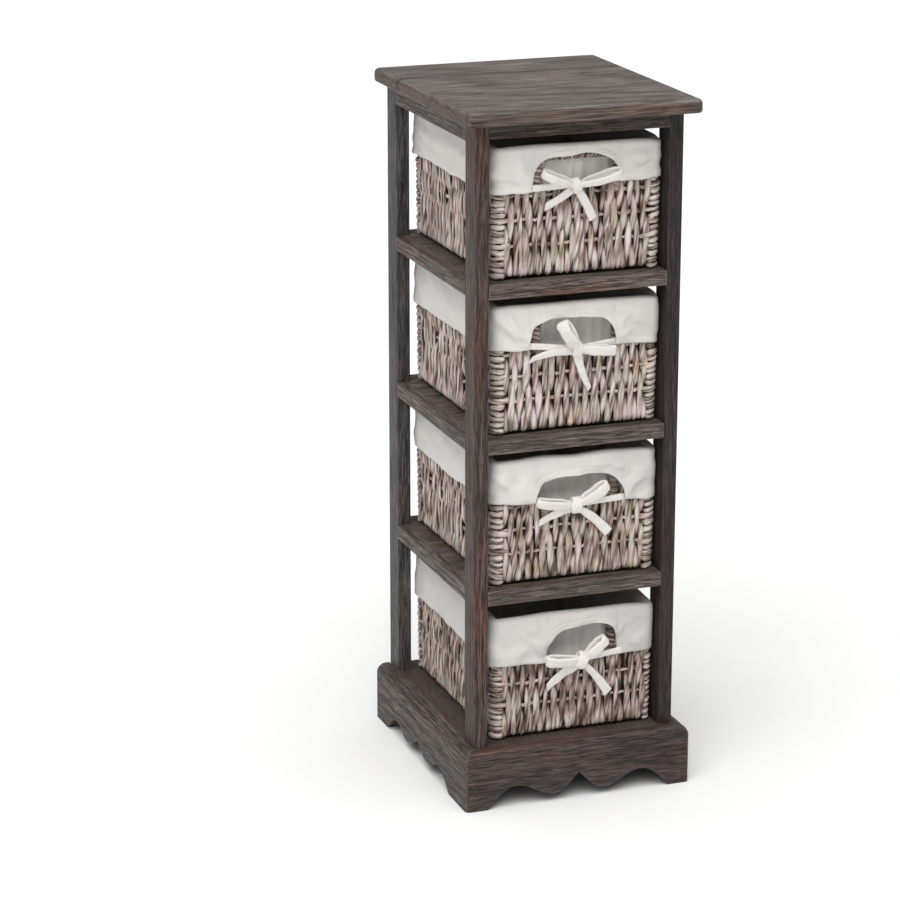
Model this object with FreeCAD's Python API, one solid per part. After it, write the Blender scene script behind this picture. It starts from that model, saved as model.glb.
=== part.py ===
import FreeCAD, Part
import math
import os

V = FreeCAD.Vector

# ---------------------------------------------------------------------------
# Narrow wooden storage tower with four pull-out lined baskets.
# Millimetres, +Z up, front of the tower faces -Y, origin on the floor under
# the centre of the outline.
# ---------------------------------------------------------------------------

# outline
WIDTH = 296.0            # over the top board and the plinth
DEPTH = 340.0
HEIGHT = 860.0
TOP_T = 17.0             # top board thickness
TOP_EDGE_R = 6.5         # upper edge rounding of the top board
TOP_UNDER_R = 3.5        # lower edge rounding
TOP_CORNER_R = 8.0       # plan corners
TOP_JOINT_Y = 77.0       # glue line between the two top planks

# frame
SIDE_OVER = 17.0         # top board and plinth beyond the posts, sides
FRONT_OVER = 20.0        # the same at the front
REAR_OVER = 4.0          # the same at the back
POST_W = 18.0            # across the front
POST_D = 33.0            # front to back
POST_FOOT = 12.0         # posts stop this far above the floor
RAIL_H = 18.0
RAIL_D = 18.0            # front and rear rails, front to back
SIDE_RAIL_W = 13.0
PANEL_T = 10.0           # shelf boards between the rails
APRON_FRONT_H = 18.0
APRON_SIDE_H = 24.5
SHELF_TOPS = (652.5, 463.0, 273.5)
BASE_TOP = 74.0
BASE_T = 18.0
EDGE_R = 1.2             # eased edges of the frame parts

# plinth
PLINTH_TOP_R = 12.0
PLINTH_CORNER_R = 6.0
CLEAT = 14.0

# joinery
DOWEL_R = 3.0
DOWEL_IN = 12.0          # depth on each side of the joint
SCREW_R = 2.0
SCREW_HEAD_R = 4.0
SCREW_HEAD_H = 2.4

# baskets
BASKET_X = (3.4, 4.0, 3.8, 4.0)   # centres of the baskets, top to bottom
BASKET_Y = 6.0
BASKET_H = 156.5         # woven body
RIM_HX = 106.0           # half sizes at the rim
RIM_HY = 144.0
TAPER_X = 1.0            # each side, rim to bottom
TAPER_Y = 4.0            # front and back, rim to bottom
BASKET_R = 12.0          # plan corners
WALL = 8.0
WIRE_R = 2.0
LIFT = 0.4               # running gap over the shelf
CLOTH = 2.0              # liner thickness
CUFF_DROP = 56.0         # fold-over measured from the liner's rim
HOLE_HALF = 46.0         # grip hole
HOLE_LOW = 107.5
HOLE_SHOULDER = 118.0
HOLE_HIGH = 140.0
NOTCH_HALF = 56.0        # cut-out of the cuff round the grip hole
NOTCH_HIGH = 144.5

PX = WIDTH / 2 - SIDE_OVER           # outer face of the posts
PXI = PX - POST_W                    # inner face of the posts
YF = -DEPTH / 2 + FRONT_OVER         # front face of the posts
YR = DEPTH / 2 - REAR_OVER           # back face of the posts
YFI = YF + POST_D
YRI = YR - POST_D
TOP_Z = HEIGHT - TOP_T

nodes = {}


def box(x0, x1, y0, y1, z0, z1):
    return Part.makeBox(x1 - x0, y1 - y0, z1 - z0, V(x0, y0, z0))


def along(shape, axis):
    """Straight edges parallel to one axis."""
    out = []
    for e in shape.Edges:
        d = e.Vertexes[-1].Point.sub(e.Vertexes[0].Point)
        if d.Length < 1e-6:
            continue
        d.normalize()
        if abs(abs(getattr(d, axis)) - 1.0) < 1e-6:
            out.append(e)
    return out


def eased(shape, axis, r=EDGE_R):
    return shape.makeFillet(r, along(shape, axis))


def group(solids):
    return Part.makeCompound(solids)


# ---------------------------------------------------------------------------
# frame blanks
# ---------------------------------------------------------------------------
posts = {
    "post_front_left": box(-PX, -PXI, YF, YFI, POST_FOOT, TOP_Z),
    "post_front_right": box(PXI, PX, YF, YFI, POST_FOOT, TOP_Z),
    "post_rear_left": box(-PX, -PXI, YRI, YR, POST_FOOT, TOP_Z),
    "post_rear_right": box(PXI, PX, YRI, YR, POST_FOOT, TOP_Z),
}
post_blanks = dict(posts)
for n in posts:
    posts[n] = eased(posts[n], "z", 1.6)

rails = {}
rails["apron_front"] = box(-PXI, PXI, YF, YF + RAIL_D, TOP_Z - APRON_FRONT_H, TOP_Z)
rails["apron_rear"] = box(-PXI, PXI, YR - RAIL_D, YR, TOP_Z - APRON_FRONT_H, TOP_Z)
rails["apron_left"] = box(-PX, -PX + SIDE_RAIL_W, YFI, YRI, TOP_Z - APRON_SIDE_H, TOP_Z)
rails["apron_right"] = box(PX - SIDE_RAIL_W, PX, YFI, YRI, TOP_Z - APRON_SIDE_H, TOP_Z)
for i, zt in enumerate(SHELF_TOPS, 1):
    zb = zt - RAIL_H
    rails["shelf_%d_front_rail" % i] = box(-PXI, PXI, YF, YF + RAIL_D, zb, zt)
    rails["shelf_%d_rear_rail" % i] = box(-PXI, PXI, YR - RAIL_D, YR, zb, zt)
    rails["shelf_%d_left_rail" % i] = box(-PX, -PX + SIDE_RAIL_W, YFI, YRI, zb, zt)
    rails["shelf_%d_right_rail" % i] = box(PX - SIDE_RAIL_W, PX, YFI, YRI, zb, zt)
for n in list(rails):
    axis = "x" if ("front" in n or "rear" in n) else "y"
    rails[n] = eased(rails[n], axis)

# dowels: one through each rail end into its post
dowels = []


def dowel_x(sx, y, z):
    x = sx * PXI
    return Part.makeCylinder(DOWEL_R, 2 * DOWEL_IN, V(x - DOWEL_IN, y, z), V(1, 0, 0))


def dowel_y(x, y, z):
    return Part.makeCylinder(DOWEL_R, 2 * DOWEL_IN, V(x, y - DOWEL_IN, z), V(0, 1, 0))


def add_dowel(cyl, *names):
    dowels.append(cyl)
    for n in names:
        if n in posts:
            posts[n] = posts[n].cut(cyl)
        else:
            rails[n] = rails[n].cut(cyl)


side_x = PX - SIDE_RAIL_W / 2
level_rails = [("apron_front", "apron_rear", "apron_left", "apron_right",
                TOP_Z - APRON_FRONT_H / 2, TOP_Z - APRON_SIDE_H / 2)]
for i, zt in enumerate(SHELF_TOPS, 1):
    p = "shelf_%d_" % i
    level_rails.append((p + "front_rail", p + "rear_rail", p + "left_rail", p + "right_rail",
                        zt - RAIL_H / 2, zt - RAIL_H / 2))
for fr, rr, lr, rt, zf, zs in level_rails:
    for sx, side in ((-1, "left"), (1, "right")):
        add_dowel(dowel_x(sx, YF + RAIL_D / 2, zf), fr, "post_front_" + side)
        add_dowel(dowel_x(sx, YR - RAIL_D / 2, zf), rr, "post_rear_" + side)
        rail = lr if sx < 0 else rt
        add_dowel(dowel_y(sx * side_x, YFI, zs), rail, "post_front_" + side)
        add_dowel(dowel_y(sx * side_x, YRI, zs), rail, "post_rear_" + side)

# ---------------------------------------------------------------------------
# shelf panels: boards laid flush between the four rails of each level
# ---------------------------------------------------------------------------
panels = {}
for i, zt in enumerate(SHELF_TOPS, 1):
    b = box(-PX + SIDE_RAIL_W, PX - SIDE_RAIL_W, YF + RAIL_D, YR - RAIL_D, zt - PANEL_T, zt)
    for s in post_blanks.values():
        b = b.cut(s)
    top_edges = [e for e in b.Edges
                 if all(abs(v.Point.z - zt) < 1e-6 for v in e.Vertexes)
                 and e.Length > 200]
    b = b.makeFillet(0.7, top_edges)
    panels["shelf_%d_panel" % i] = b

# ---------------------------------------------------------------------------
# top board: two planks edge to edge, rounded all round
# ---------------------------------------------------------------------------
top = box(-WIDTH / 2, WIDTH / 2, -DEPTH / 2, DEPTH / 2, TOP_Z, HEIGHT)
top = eased(top, "z", TOP_CORNER_R)
upper = [e for e in top.Edges if all(abs(v.Point.z - HEIGHT) < 1e-6 for v in e.Vertexes)]
top = top.makeFillet(TOP_EDGE_R, upper)
lower = [e for e in top.Edges if all(abs(v.Point.z - TOP_Z) < 1e-6 for v in e.Vertexes)]
top = top.makeFillet(TOP_UNDER_R, lower)
groove = Part.Face(Part.makePolygon([
    V(-WIDTH, TOP_JOINT_Y - 1.4, HEIGHT + 0.2), V(-WIDTH, TOP_JOINT_Y + 1.4, HEIGHT + 0.2),
    V(-WIDTH, TOP_JOINT_Y, HEIGHT - 1.6), V(-WIDTH, TOP_JOINT_Y - 1.4, HEIGHT + 0.2)])).extrude(V(2 * WIDTH, 0, 0))
top = top.cut(groove)
top_front = top.cut(box(-WIDTH, WIDTH, TOP_JOINT_Y, DEPTH, 0, 2 * HEIGHT))
top_rear = top.cut(box(-WIDTH, WIDTH, -DEPTH, TOP_JOINT_Y, 0, 2 * HEIGHT))

# screws up through the aprons into the top
top_screws = []


def screw(pos, direction, length):
    head = Part.makeCone(SCREW_HEAD_R, SCREW_R, SCREW_HEAD_H, pos, direction)
    d = V(direction)
    d.normalize()
    shank = Part.makeCylinder(SCREW_R, length - SCREW_HEAD_H, pos.add(d * SCREW_HEAD_H), direction)
    return head.fuse(shank).removeSplitter()


SCREW_BITE = 10.0
for n, x, y, h in (("apron_front", -70, YF + RAIL_D / 2, APRON_FRONT_H),
                   ("apron_front", 70, YF + RAIL_D / 2, APRON_FRONT_H),
                   ("apron_rear", -70, YR - RAIL_D / 2, APRON_FRONT_H),
                   ("apron_rear", 70, YR - RAIL_D / 2, APRON_FRONT_H),
                   ("apron_left", -side_x, 8.0, APRON_SIDE_H),
                   ("apron_right", side_x, 8.0, APRON_SIDE_H)):
    s = screw(V(x, y, TOP_Z - h), V(0, 0, 1), h + SCREW_BITE)
    top_screws.append(s)
    rails[n] = rails[n].cut(s)
    if y > TOP_JOINT_Y:
        top_rear = top_rear.cut(s)
    else:
        top_front = top_front.cut(s)

# ---------------------------------------------------------------------------
# plinth: skirt boards round three sides, mitred at the front, rounded over
# along the top, with a scalloped lower edge; plain board at the back
# ---------------------------------------------------------------------------
ring = box(-WIDTH / 2, WIDTH / 2, -DEPTH / 2, DEPTH / 2, 0, BASE_TOP)
front_corners = [e for e in along(ring, "z") if e.Vertexes[0].Point.y < 0]
ring = ring.makeFillet(PLINTH_CORNER_R, front_corners)
rim = []
for e in ring.Edges:
    if not all(abs(v.Point.z - BASE_TOP) < 1e-6 for v in e.Vertexes):
        continue
    mid = e.valueAt((e.FirstParameter + e.LastParameter) / 2)
    if mid.y < DEPTH / 2 - 1:
        rim.append(e)
ring = ring.makeFillet(PLINTH_TOP_R, rim)
ring = ring.cut(box(-PX, PX, YF, DEPTH, -1, BASE_TOP + 1))


def scallop(points, centre, plane):
    """Closed lower-edge profile from the (offset, height) points of one half, foot to cusp."""
    def at(u, z):
        return V(u, 0, z) if plane == "xz" else V(0, u, z)

    def spline(pts):
        c = Part.BSplineCurve()
        c.interpolate([at(*p) for p in pts])
        return c.toShape()

    right = [(centre + u, z) for u, z in points]
    left = [(centre - u, z) for u, z in points]
    low_r, low_l = (right[0][0], -5.0), (left[0][0], -5.0)
    edges = [spline(right), spline(left),
             Part.makeLine(at(*low_r), at(*right[0])),
             Part.makeLine(at(*low_l), at(*left[0])),
             Part.makeLine(at(*low_l), at(*low_r))]
    return Part.Face(Part.Wire(Part.__sortEdges__(edges)))


# foot, slope, rounded arch, rounded lobe, pointed middle
front_half = ((119.2, 0.0), (111.3, 9.3), (104.5, 16.4), (98.0, 21.8), (90.5, 25.7), (81.0, 27.0),
              (71.5, 25.3), (60.0, 20.0), (48.0, 13.2), (40.0, 10.3), (33.5, 9.6), (27.0, 10.7),
              (19.0, 15.2), (11.0, 22.6), (4.5, 29.4), (0.0, 34.2))
side_half = ((118.0, 0.0), (112.0, 5.6), (105.0, 11.8), (97.0, 17.6), (88.0, 21.6), (78.0, 22.8),
             (69.0, 21.0), (61.0, 17.3), (53.0, 13.3), (45.5, 10.8), (38.5, 10.2), (30.0, 11.2),
             (22.0, 14.0), (13.0, 19.0), (5.0, 24.0), (0.0, 27.0))
SIDE_SCALLOP_Y = 11.0    # the side skirts' feet are longer at the front
cut_front = scallop(front_half, 0.0, "xz").extrude(V(0, 60, 0))
cut_front.translate(V(0, -DEPTH / 2 - 20, 0))
cut_side = scallop(side_half, SIDE_SCALLOP_Y, "yz").extrude(V(2 * WIDTH, 0, 0))
cut_side.translate(V(-WIDTH, 0, 0))
ring = ring.cut(cut_front).cut(cut_side)


def wedge(pts, z0=-10.0, z1=BASE_TOP + 10.0):
    pts = [V(x, y, z0) for x, y in pts]
    return Part.Face(Part.makePolygon(pts + [pts[0]])).extrude(V(0, 0, z1 - z0))


# mitre lines run from the outer plan corner to the inner one
mx, my = WIDTH / 2, DEPTH / 2
k = 0.4
ox, oy = mx + k * SIDE_OVER, -my - k * FRONT_OVER
front_zone = wedge([(-ox, oy), (ox, oy), (PX, YF), (-PX, YF)])
left_zone = wedge([(-ox, oy), (-PX, YF), (-PX, my + 10), (-ox, my + 10)])
right_zone = wedge([(ox, oy), (ox, my + 10), (PX, my + 10), (PX, YF)])
plinth = {
    "plinth_front": ring.common(front_zone),
    "plinth_left": ring.common(left_zone),
    "plinth_right": ring.common(right_zone),
}
rear = box(-PXI, PXI, YR - 16.0, YR, POST_FOOT + 2, BASE_TOP - BASE_T)
arch = Part.Face(Part.Wire([
    Part.makeLine(V(80, YR - 30, 0), V(-80, YR - 30, 0)),
    Part.makeLine(V(-80, YR - 30, 0), V(-80, YR - 30, POST_FOOT + 2)),
    Part.Arc(V(-80, YR - 30, POST_FOOT + 2), V(0, YR - 30, 32), V(80, YR - 30, POST_FOOT + 2)).toShape(),
    Part.makeLine(V(80, YR - 30, POST_FOOT + 2), V(80, YR - 30, 0))])).extrude(V(0, 60, 0))
plinth["plinth_rear"] = rear.cut(arch)

# base board, notched round the posts, on cleats
base = box(-PX, PX, YF, YR, BASE_TOP - BASE_T, BASE_TOP)
for s in post_blanks.values():
    base = base.cut(s)
cleat_z0 = BASE_TOP - BASE_T - CLEAT
cleats = {
    "base_cleat_front": box(-PXI, PXI, YF, YF + CLEAT, cleat_z0, BASE_TOP - BASE_T),
    "base_cleat_left": box(-PX, -PX + CLEAT, YFI, YRI, cleat_z0, BASE_TOP - BASE_T),
    "base_cleat_right": box(PX - CLEAT, PX, YFI, YRI, cleat_z0, BASE_TOP - BASE_T),
}

# screws from inside each post into the side skirts
plinth_screws = []
for sx, side in ((-1, "left"), (1, "right")):
    for end, y in (("front", YF + POST_D / 2), ("rear", YR - POST_D / 2)):
        for z in (33.0, 49.0):
            s = screw(V(sx * PXI, y, z), V(sx, 0, 0), POST_W + SCREW_BITE)
            plinth_screws.append(s)
            posts["post_%s_%s" % (end, side)] = posts["post_%s_%s" % (end, side)].cut(s)
            plinth["plinth_" + side] = plinth["plinth_" + side].cut(s)

nodes["top_board_front"] = top_front
nodes["top_board_rear"] = top_rear
nodes.update(posts)
nodes.update(rails)
nodes.update(panels)
nodes.update(plinth)
nodes["base_board"] = base
nodes.update(cleats)
nodes["rail_dowels"] = group(dowels)
nodes["top_screws"] = group(top_screws)
nodes["plinth_screws"] = group(plinth_screws)


# ---------------------------------------------------------------------------
# baskets: tapered woven tub on a wire frame, cloth liner folded over the rim,
# cloth tie across the cut-out of the fold-over
# ---------------------------------------------------------------------------
def half_x(z):
    return RIM_HX - TAPER_X + TAPER_X * z / BASKET_H


def half_y(z):
    return RIM_HY - TAPER_Y + TAPER_Y * z / BASKET_H


def section(z, off):
    hx, hy, r = half_x(z) + off, half_y(z) + off, BASKET_R + off
    c = math.sqrt(0.5) * r
    e = []

    def ln(a, b):
        e.append(Part.makeLine(V(a[0], a[1], z), V(b[0], b[1], z)))

    def arc(a, m, b):
        e.append(Part.Arc(V(a[0], a[1], z), V(m[0], m[1], z), V(b[0], b[1], z)).toShape())

    ix, iy = hx - r, hy - r
    ln((-ix, -hy), (ix, -hy))
    arc((ix, -hy), (ix + c, -iy - c), (hx, -iy))
    ln((hx, -iy), (hx, iy))
    arc((hx, iy), (ix + c, iy + c), (ix, hy))
    ln((ix, hy), (-ix, hy))
    arc((-ix, hy), (-ix - c, iy + c), (-hx, iy))
    ln((-hx, iy), (-hx, -iy))
    arc((-hx, -iy), (-ix - c, -iy - c), (-ix, -hy))
    return Part.Wire(e)


def tub(z0, z1, off):
    return Part.makeLoft([section(z0, off), section(z1, off)], True, True)


def arch_face(half, low, high, shoulder, flat, y):
    """Flat bottom, arched top outline in an XZ plane."""
    c = math.sqrt(0.5)
    rx, rz = half - flat, high - shoulder
    pl, pr = V(-half, y, shoulder), V(half, y, shoulder)
    tl, tr = V(-flat, y, high), V(flat, y, high)
    ml = V(-flat - rx * c, y, shoulder + rz * c)
    mr = V(flat + rx * c, y, shoulder + rz * c)
    e = [Part.makeLine(V(-half, y, low), V(half, y, low)),
         Part.makeLine(V(half, y, low), pr),
         Part.Arc(pr, mr, tr).toShape(),
         Part.makeLine(tr, tl),
         Part.Arc(tl, ml, pl).toShape(),
         Part.makeLine(pl, V(-half, y, low))]
    return Part.Face(Part.Wire(e))


outer = tub(0, BASKET_H, 0)
hollow = tub(WALL, BASKET_H, -WALL)
woven = outer.cut(hollow)
hole = arch_face(HOLE_HALF, HOLE_LOW, HOLE_HIGH, HOLE_SHOULDER, 20.0, -RIM_HY - 30).extrude(V(0, 60, 0))
woven = woven.cut(hole)


# wire frame in the thickness of the wall: rim ring, foot ring, four uprights
def ring_wire(z, off):
    path = section(z, off)
    first = path.Edges[0]
    start = first.valueAt(first.FirstParameter)
    prof = Part.Wire(Part.makeCircle(WIRE_R, start, V(1, 0, 0)))
    parts = []
    for ed in path.Edges:
        a = ed.valueAt(ed.FirstParameter)
        b = ed.valueAt(ed.LastParameter)
        if ed.Curve.TypeId == "Part::GeomLine":
            parts.append(Part.makeCylinder(WIRE_R, a.distanceToPoint(b), a, b.sub(a)))
        else:
            c = ed.Curve.Center
            circ = Part.Wire(Part.makeCircle(WIRE_R, a, ed.tangentAt(ed.FirstParameter)))
            face = Part.Face(circ)
            ang = math.degrees(ed.LastParameter - ed.FirstParameter)
            parts.append(face.revolve(c, ed.Curve.Axis, ang))
    s = parts[0].multiFuse(parts[1:])
    return s.removeSplitter()


RING_TOP, RING_LOW = BASKET_H - 6.0, 4.5
wire = ring_wire(RING_TOP, -WALL / 2)
wire = wire.fuse(ring_wire(RING_LOW, -WALL / 2))
q = math.sqrt(0.5) * (BASKET_R - WALL / 2)
for sx in (-1, 1):
    for sy in (-1, 1):
        def upright(z):
            return V(sx * (half_x(z) - BASKET_R + q), sy * (half_y(z) - BASKET_R + q), z)
        a, b = upright(RING_LOW), upright(RING_TOP)
        wire = wire.fuse(Part.makeCylinder(WIRE_R, a.distanceToPoint(b), a, b.sub(a)))
wire = wire.removeSplitter()
woven = woven.cut(wire)

# liner: bag inside, over the rim, cuff outside with an arched cut-out in front
rim_z = BASKET_H + CLOTH
cuff = tub(rim_z - CUFF_DROP, rim_z, CLOTH).cut(outer)
notch = arch_face(NOTCH_HALF, 90.0, NOTCH_HIGH, 112.0, 26.0, -RIM_HY - 30).extrude(V(0, 60, 0)).cut(outer)
cuff = cuff.cut(notch)
liner = cuff.fuse(hollow).cut(tub(WALL + CLOTH, rim_z + 20, -WALL - CLOTH)).removeSplitter()


# tie: band across the cut-out with a bow at its middle, following the wall
def front_y(z):
    return -half_y(z)


def plate(pts, n0, n1):
    w = Part.makePolygon([V(x, front_y(z) - n0, z) for x, z in pts + [pts[0]]])
    return Part.Face(w).extrude(V(0, n0 - n1, 0))


def strip(a, b, w0, w1):
    """Quadrilateral of the given end widths from a to b in the wall plane."""
    dx, dz = b[0] - a[0], b[1] - a[1]
    length = math.hypot(dx, dz)
    nx, nz = -dz / length, dx / length
    return [(a[0] + nx * w0 / 2, a[1] + nz * w0 / 2), (b[0] + nx * w1 / 2, b[1] + nz * w1 / 2),
            (b[0] - nx * w1 / 2, b[1] - nz * w1 / 2), (a[0] - nx * w0 / 2, a[1] - nz * w0 / 2)]


def tie(knot, left_loop, right_loop, left_tail, right_tail):
    n = CLOTH + 0.1
    band_z = 104.0
    s = plate([(-NOTCH_HALF - 2, band_z - 4), (NOTCH_HALF + 2, band_z - 4),
               (NOTCH_HALF + 2, band_z + 4), (-NOTCH_HALF - 2, band_z + 4)], n, n + 1.8)
    kx, kz = knot
    k0, k1 = min(kz - 6, band_z - 6), max(kz + 6, band_z + 3)
    pieces = [plate([(kx - 6, k0), (kx + 6, k0), (kx + 6, k1), (kx - 6, k1)], n, n + 9)]
    for tip in (left_loop, right_loop):
        pieces.append(plate(strip(knot, tip, 8.0, 14.0), n + 1.8, n + 8))
    for tip in (left_tail, right_tail):
        pieces.append(plate(strip(knot, tip, 8.0, 9.0), n + 1.8, n + 3.6))
    return s.multiFuse(pieces).removeSplitter()


bows = (
    ((-5, 108), (-47, 126), (49, 122), (-41, 85), (19, 67)),
    ((-3, 102), (-27, 134), (45, 95), (-59, 93), (16, 49)),
    ((-2, 97), (-51, 104), (37, 117), (-47, 77), (44, 56)),
    ((8, 97), (-37, 104), (37, 121), (-35, 62), (45, 47)),
)
for i, (zt, bx, bow) in enumerate(zip(SHELF_TOPS + (BASE_TOP,), BASKET_X, bows), 1):
    move = V(bx, BASKET_Y, zt + LIFT)
    for name, shape in (("woven_body", woven), ("wire_frame", wire), ("liner", liner), ("ribbon_tie", tie(*bow))):
        s = shape.copy()
        s.translate(move)
        nodes["basket_%d_%s" % (i, name)] = s

# ---------------------------------------------------------------------------
os.makedirs("parts", exist_ok=True)
for name, shape in nodes.items():
    solids = shape.Solids
    if len(solids) == 1:
        shape = solids[0]
    else:
        shape = Part.makeCompound(solids)
    ok = all(s.isValid() and s.Volume > 0 for s in solids)
    print("%-24s solids %2d  volume %10.1f mm3  %s" % (name, len(solids), shape.Volume, "valid" if ok else "NOT VALID"))
    shape.exportStep("parts/%s.step" % name)
print(len(nodes), "nodes")
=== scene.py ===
import math

import bpy
import numpy as np
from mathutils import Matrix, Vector


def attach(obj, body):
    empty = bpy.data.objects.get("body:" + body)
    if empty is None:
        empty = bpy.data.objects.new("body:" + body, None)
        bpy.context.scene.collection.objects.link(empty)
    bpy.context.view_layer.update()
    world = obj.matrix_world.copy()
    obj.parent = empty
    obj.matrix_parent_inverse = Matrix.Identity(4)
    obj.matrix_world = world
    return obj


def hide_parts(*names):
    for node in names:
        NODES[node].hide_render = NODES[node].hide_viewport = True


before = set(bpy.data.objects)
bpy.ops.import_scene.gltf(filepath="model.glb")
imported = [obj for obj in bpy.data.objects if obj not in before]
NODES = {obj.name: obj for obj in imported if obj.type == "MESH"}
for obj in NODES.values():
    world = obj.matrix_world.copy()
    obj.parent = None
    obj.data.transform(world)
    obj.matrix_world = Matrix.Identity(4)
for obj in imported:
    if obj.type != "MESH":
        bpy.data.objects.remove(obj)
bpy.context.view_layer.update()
scene = bpy.context.scene
MM = 0.001
TAU = 2 * math.pi

# ---------------------------------------------------------------------------
# camera, light and floor
# ---------------------------------------------------------------------------
cam_data = bpy.data.cameras.new("camera")
cam_data.sensor_width = 36.0
cam_data.lens = 3100.0 / 900 * 36.0
cam_data.clip_end = 200.0
cam = bpy.data.objects.new("camera", cam_data)
scene.collection.objects.link(cam)
YAW, PITCH = 0.345, 0.29201
cam.location = (-1.34504, -3.44341, 1.50960)
look = Vector((math.sin(YAW) * math.cos(PITCH), math.cos(YAW) * math.cos(PITCH), -math.sin(PITCH)))
cam.rotation_mode = "QUATERNION"
cam.rotation_quaternion = look.to_track_quat("-Z", "Y")
scene.camera = cam

scene.view_settings.view_transform = "Standard"
scene.view_settings.look = "None"

world = bpy.data.worlds.new("studio")
world.use_nodes = True
world.node_tree.nodes["Background"].inputs["Color"].default_value = (1.0, 1.0, 1.0, 1.0)
world.node_tree.nodes["Background"].inputs["Strength"].default_value = 0.25
scene.world = world


def soft_sun(name, toward, spread, strength):
    """Even soft light from one side of the studio: toward is the way it shines."""
    data = bpy.data.lights.new(name, "SUN")
    data.angle = math.radians(spread)
    data.energy = strength
    ob = bpy.data.objects.new(name, data)
    scene.collection.objects.link(ob)
    ob.location = tuple(-3.0 * v for v in toward)
    ob.rotation_mode = "QUATERNION"
    ob.rotation_quaternion = Vector(toward).to_track_quat("-Z", "Y")
    return ob


soft_sun("key_light", (0.30, 0.47, -0.63), 55.0, 1.15)
soft_sun("top_light", (0.12, 0.18, -1.0), 80.0, 2.45)


# ---------------------------------------------------------------------------
# shader helpers
# ---------------------------------------------------------------------------
class Graph:
    """Short names for building one material's nodes."""

    def __init__(self, name):
        self.mat = bpy.data.materials.new(name)
        self.mat.use_nodes = True
        self.nt = self.mat.node_tree
        self.nt.nodes.clear()
        self.out = self.nt.nodes.new("ShaderNodeOutputMaterial")
        self.bsdf = self.nt.nodes.new("ShaderNodeBsdfPrincipled")
        self.nt.links.new(self.bsdf.outputs[0], self.out.inputs[0])

    def put(self, socket, value):
        if isinstance(value, bpy.types.NodeSocket):
            self.nt.links.new(value, socket)
        elif value is not None:
            socket.default_value = value

    def set(self, name, value):
        self.put(self.bsdf.inputs[name], value)

    def math(self, op, a, b=None, c=None, clamp=False):
        n = self.nt.nodes.new("ShaderNodeMath")
        n.operation = op
        n.use_clamp = clamp
        for i, v in enumerate((a, b, c)):
            if v is not None:
                self.put(n.inputs[i], v)
        return n.outputs[0]

    def vmath(self, op, a, b=None, scale=None):
        n = self.nt.nodes.new("ShaderNodeVectorMath")
        n.operation = op
        self.put(n.inputs[0], a)
        if b is not None:
            self.put(n.inputs[1], b)
        if scale is not None:
            self.put(n.inputs["Scale"], scale)
        return n.outputs["Value"] if op in ("DOT_PRODUCT", "LENGTH", "DISTANCE") else n.outputs["Vector"]

    def object_coords(self):
        return self.nt.nodes.new("ShaderNodeTexCoord").outputs["Object"]

    def uv(self, name):
        n = self.nt.nodes.new("ShaderNodeUVMap")
        n.uv_map = name
        return n.outputs[0]

    def attribute(self, name):
        n = self.nt.nodes.new("ShaderNodeAttribute")
        n.attribute_name = name
        return n.outputs["Color"]

    def split(self, v):
        n = self.nt.nodes.new("ShaderNodeSeparateXYZ")
        self.put(n.inputs[0], v)
        return n.outputs[0], n.outputs[1], n.outputs[2]

    def split_colour(self, v):
        n = self.nt.nodes.new("ShaderNodeSeparateColor")
        self.put(n.inputs[0], v)
        return n.outputs[0], n.outputs[1], n.outputs[2]

    def join(self, x, y, z):
        n = self.nt.nodes.new("ShaderNodeCombineXYZ")
        for i, v in enumerate((x, y, z)):
            self.put(n.inputs[i], v)
        return n.outputs[0]

    def noise(self, v, scale=1.0, detail=2.0, rough=0.5, distort=0.0, colour=False):
        n = self.nt.nodes.new("ShaderNodeTexNoise")
        self.put(n.inputs["Vector"], v)
        self.put(n.inputs["Scale"], scale)
        self.put(n.inputs["Detail"], detail)
        self.put(n.inputs["Roughness"], rough)
        self.put(n.inputs["Distortion"], distort)
        return n.outputs["Color"] if colour else n.outputs[0]

    def range(self, v, a, b, c=0.0, d=1.0, smooth=False):
        n = self.nt.nodes.new("ShaderNodeMapRange")
        n.interpolation_type = "SMOOTHSTEP" if smooth else "LINEAR"
        n.clamp = True
        self.put(n.inputs["Value"], v)
        for k, x in zip(("From Min", "From Max", "To Min", "To Max"), (a, b, c, d)):
            self.put(n.inputs[k], x)
        return n.outputs[0]

    def ramp(self, f, stops, ease=False):
        n = self.nt.nodes.new("ShaderNodeValToRGB")
        cr = n.color_ramp
        cr.interpolation = "EASE" if ease else "LINEAR"
        while len(cr.elements) < len(stops):
            cr.elements.new(0.5)
        for e, (p, c) in zip(cr.elements, stops):
            e.position = p
            e.color = (*c, 1.0)
        self.put(n.inputs[0], f)
        return n.outputs[0]

    def mix(self, f, a, b, blend="MIX"):
        n = self.nt.nodes.new("ShaderNodeMix")
        n.data_type = "RGBA"
        n.blend_type = blend
        n.clamp_factor = True
        self.put(n.inputs[0], f)
        for i, v in ((6, a), (7, b)):
            self.put(n.inputs[i], (*v, 1.0) if isinstance(v, tuple) else v)
        return n.outputs[2]

    def bump(self, height, strength, distance, normal=None):
        n = self.nt.nodes.new("ShaderNodeBump")
        n.inputs["Strength"].default_value = strength
        n.inputs["Distance"].default_value = distance
        self.put(n.inputs["Height"], height)
        if normal is not None:
            self.put(n.inputs["Normal"], normal)
        return n.outputs[0]

    def edges(self, radius, samples=4):
        """1 along arrises narrower than the radius, 0 on the faces."""
        bev = self.nt.nodes.new("ShaderNodeBevel")
        bev.samples = samples
        bev.inputs["Radius"].default_value = radius
        geo = self.nt.nodes.new("ShaderNodeNewGeometry")
        d = self.vmath("DOT_PRODUCT", bev.outputs[0], geo.outputs["Normal"])
        return self.math("SUBTRACT", 1.0, d)


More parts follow.
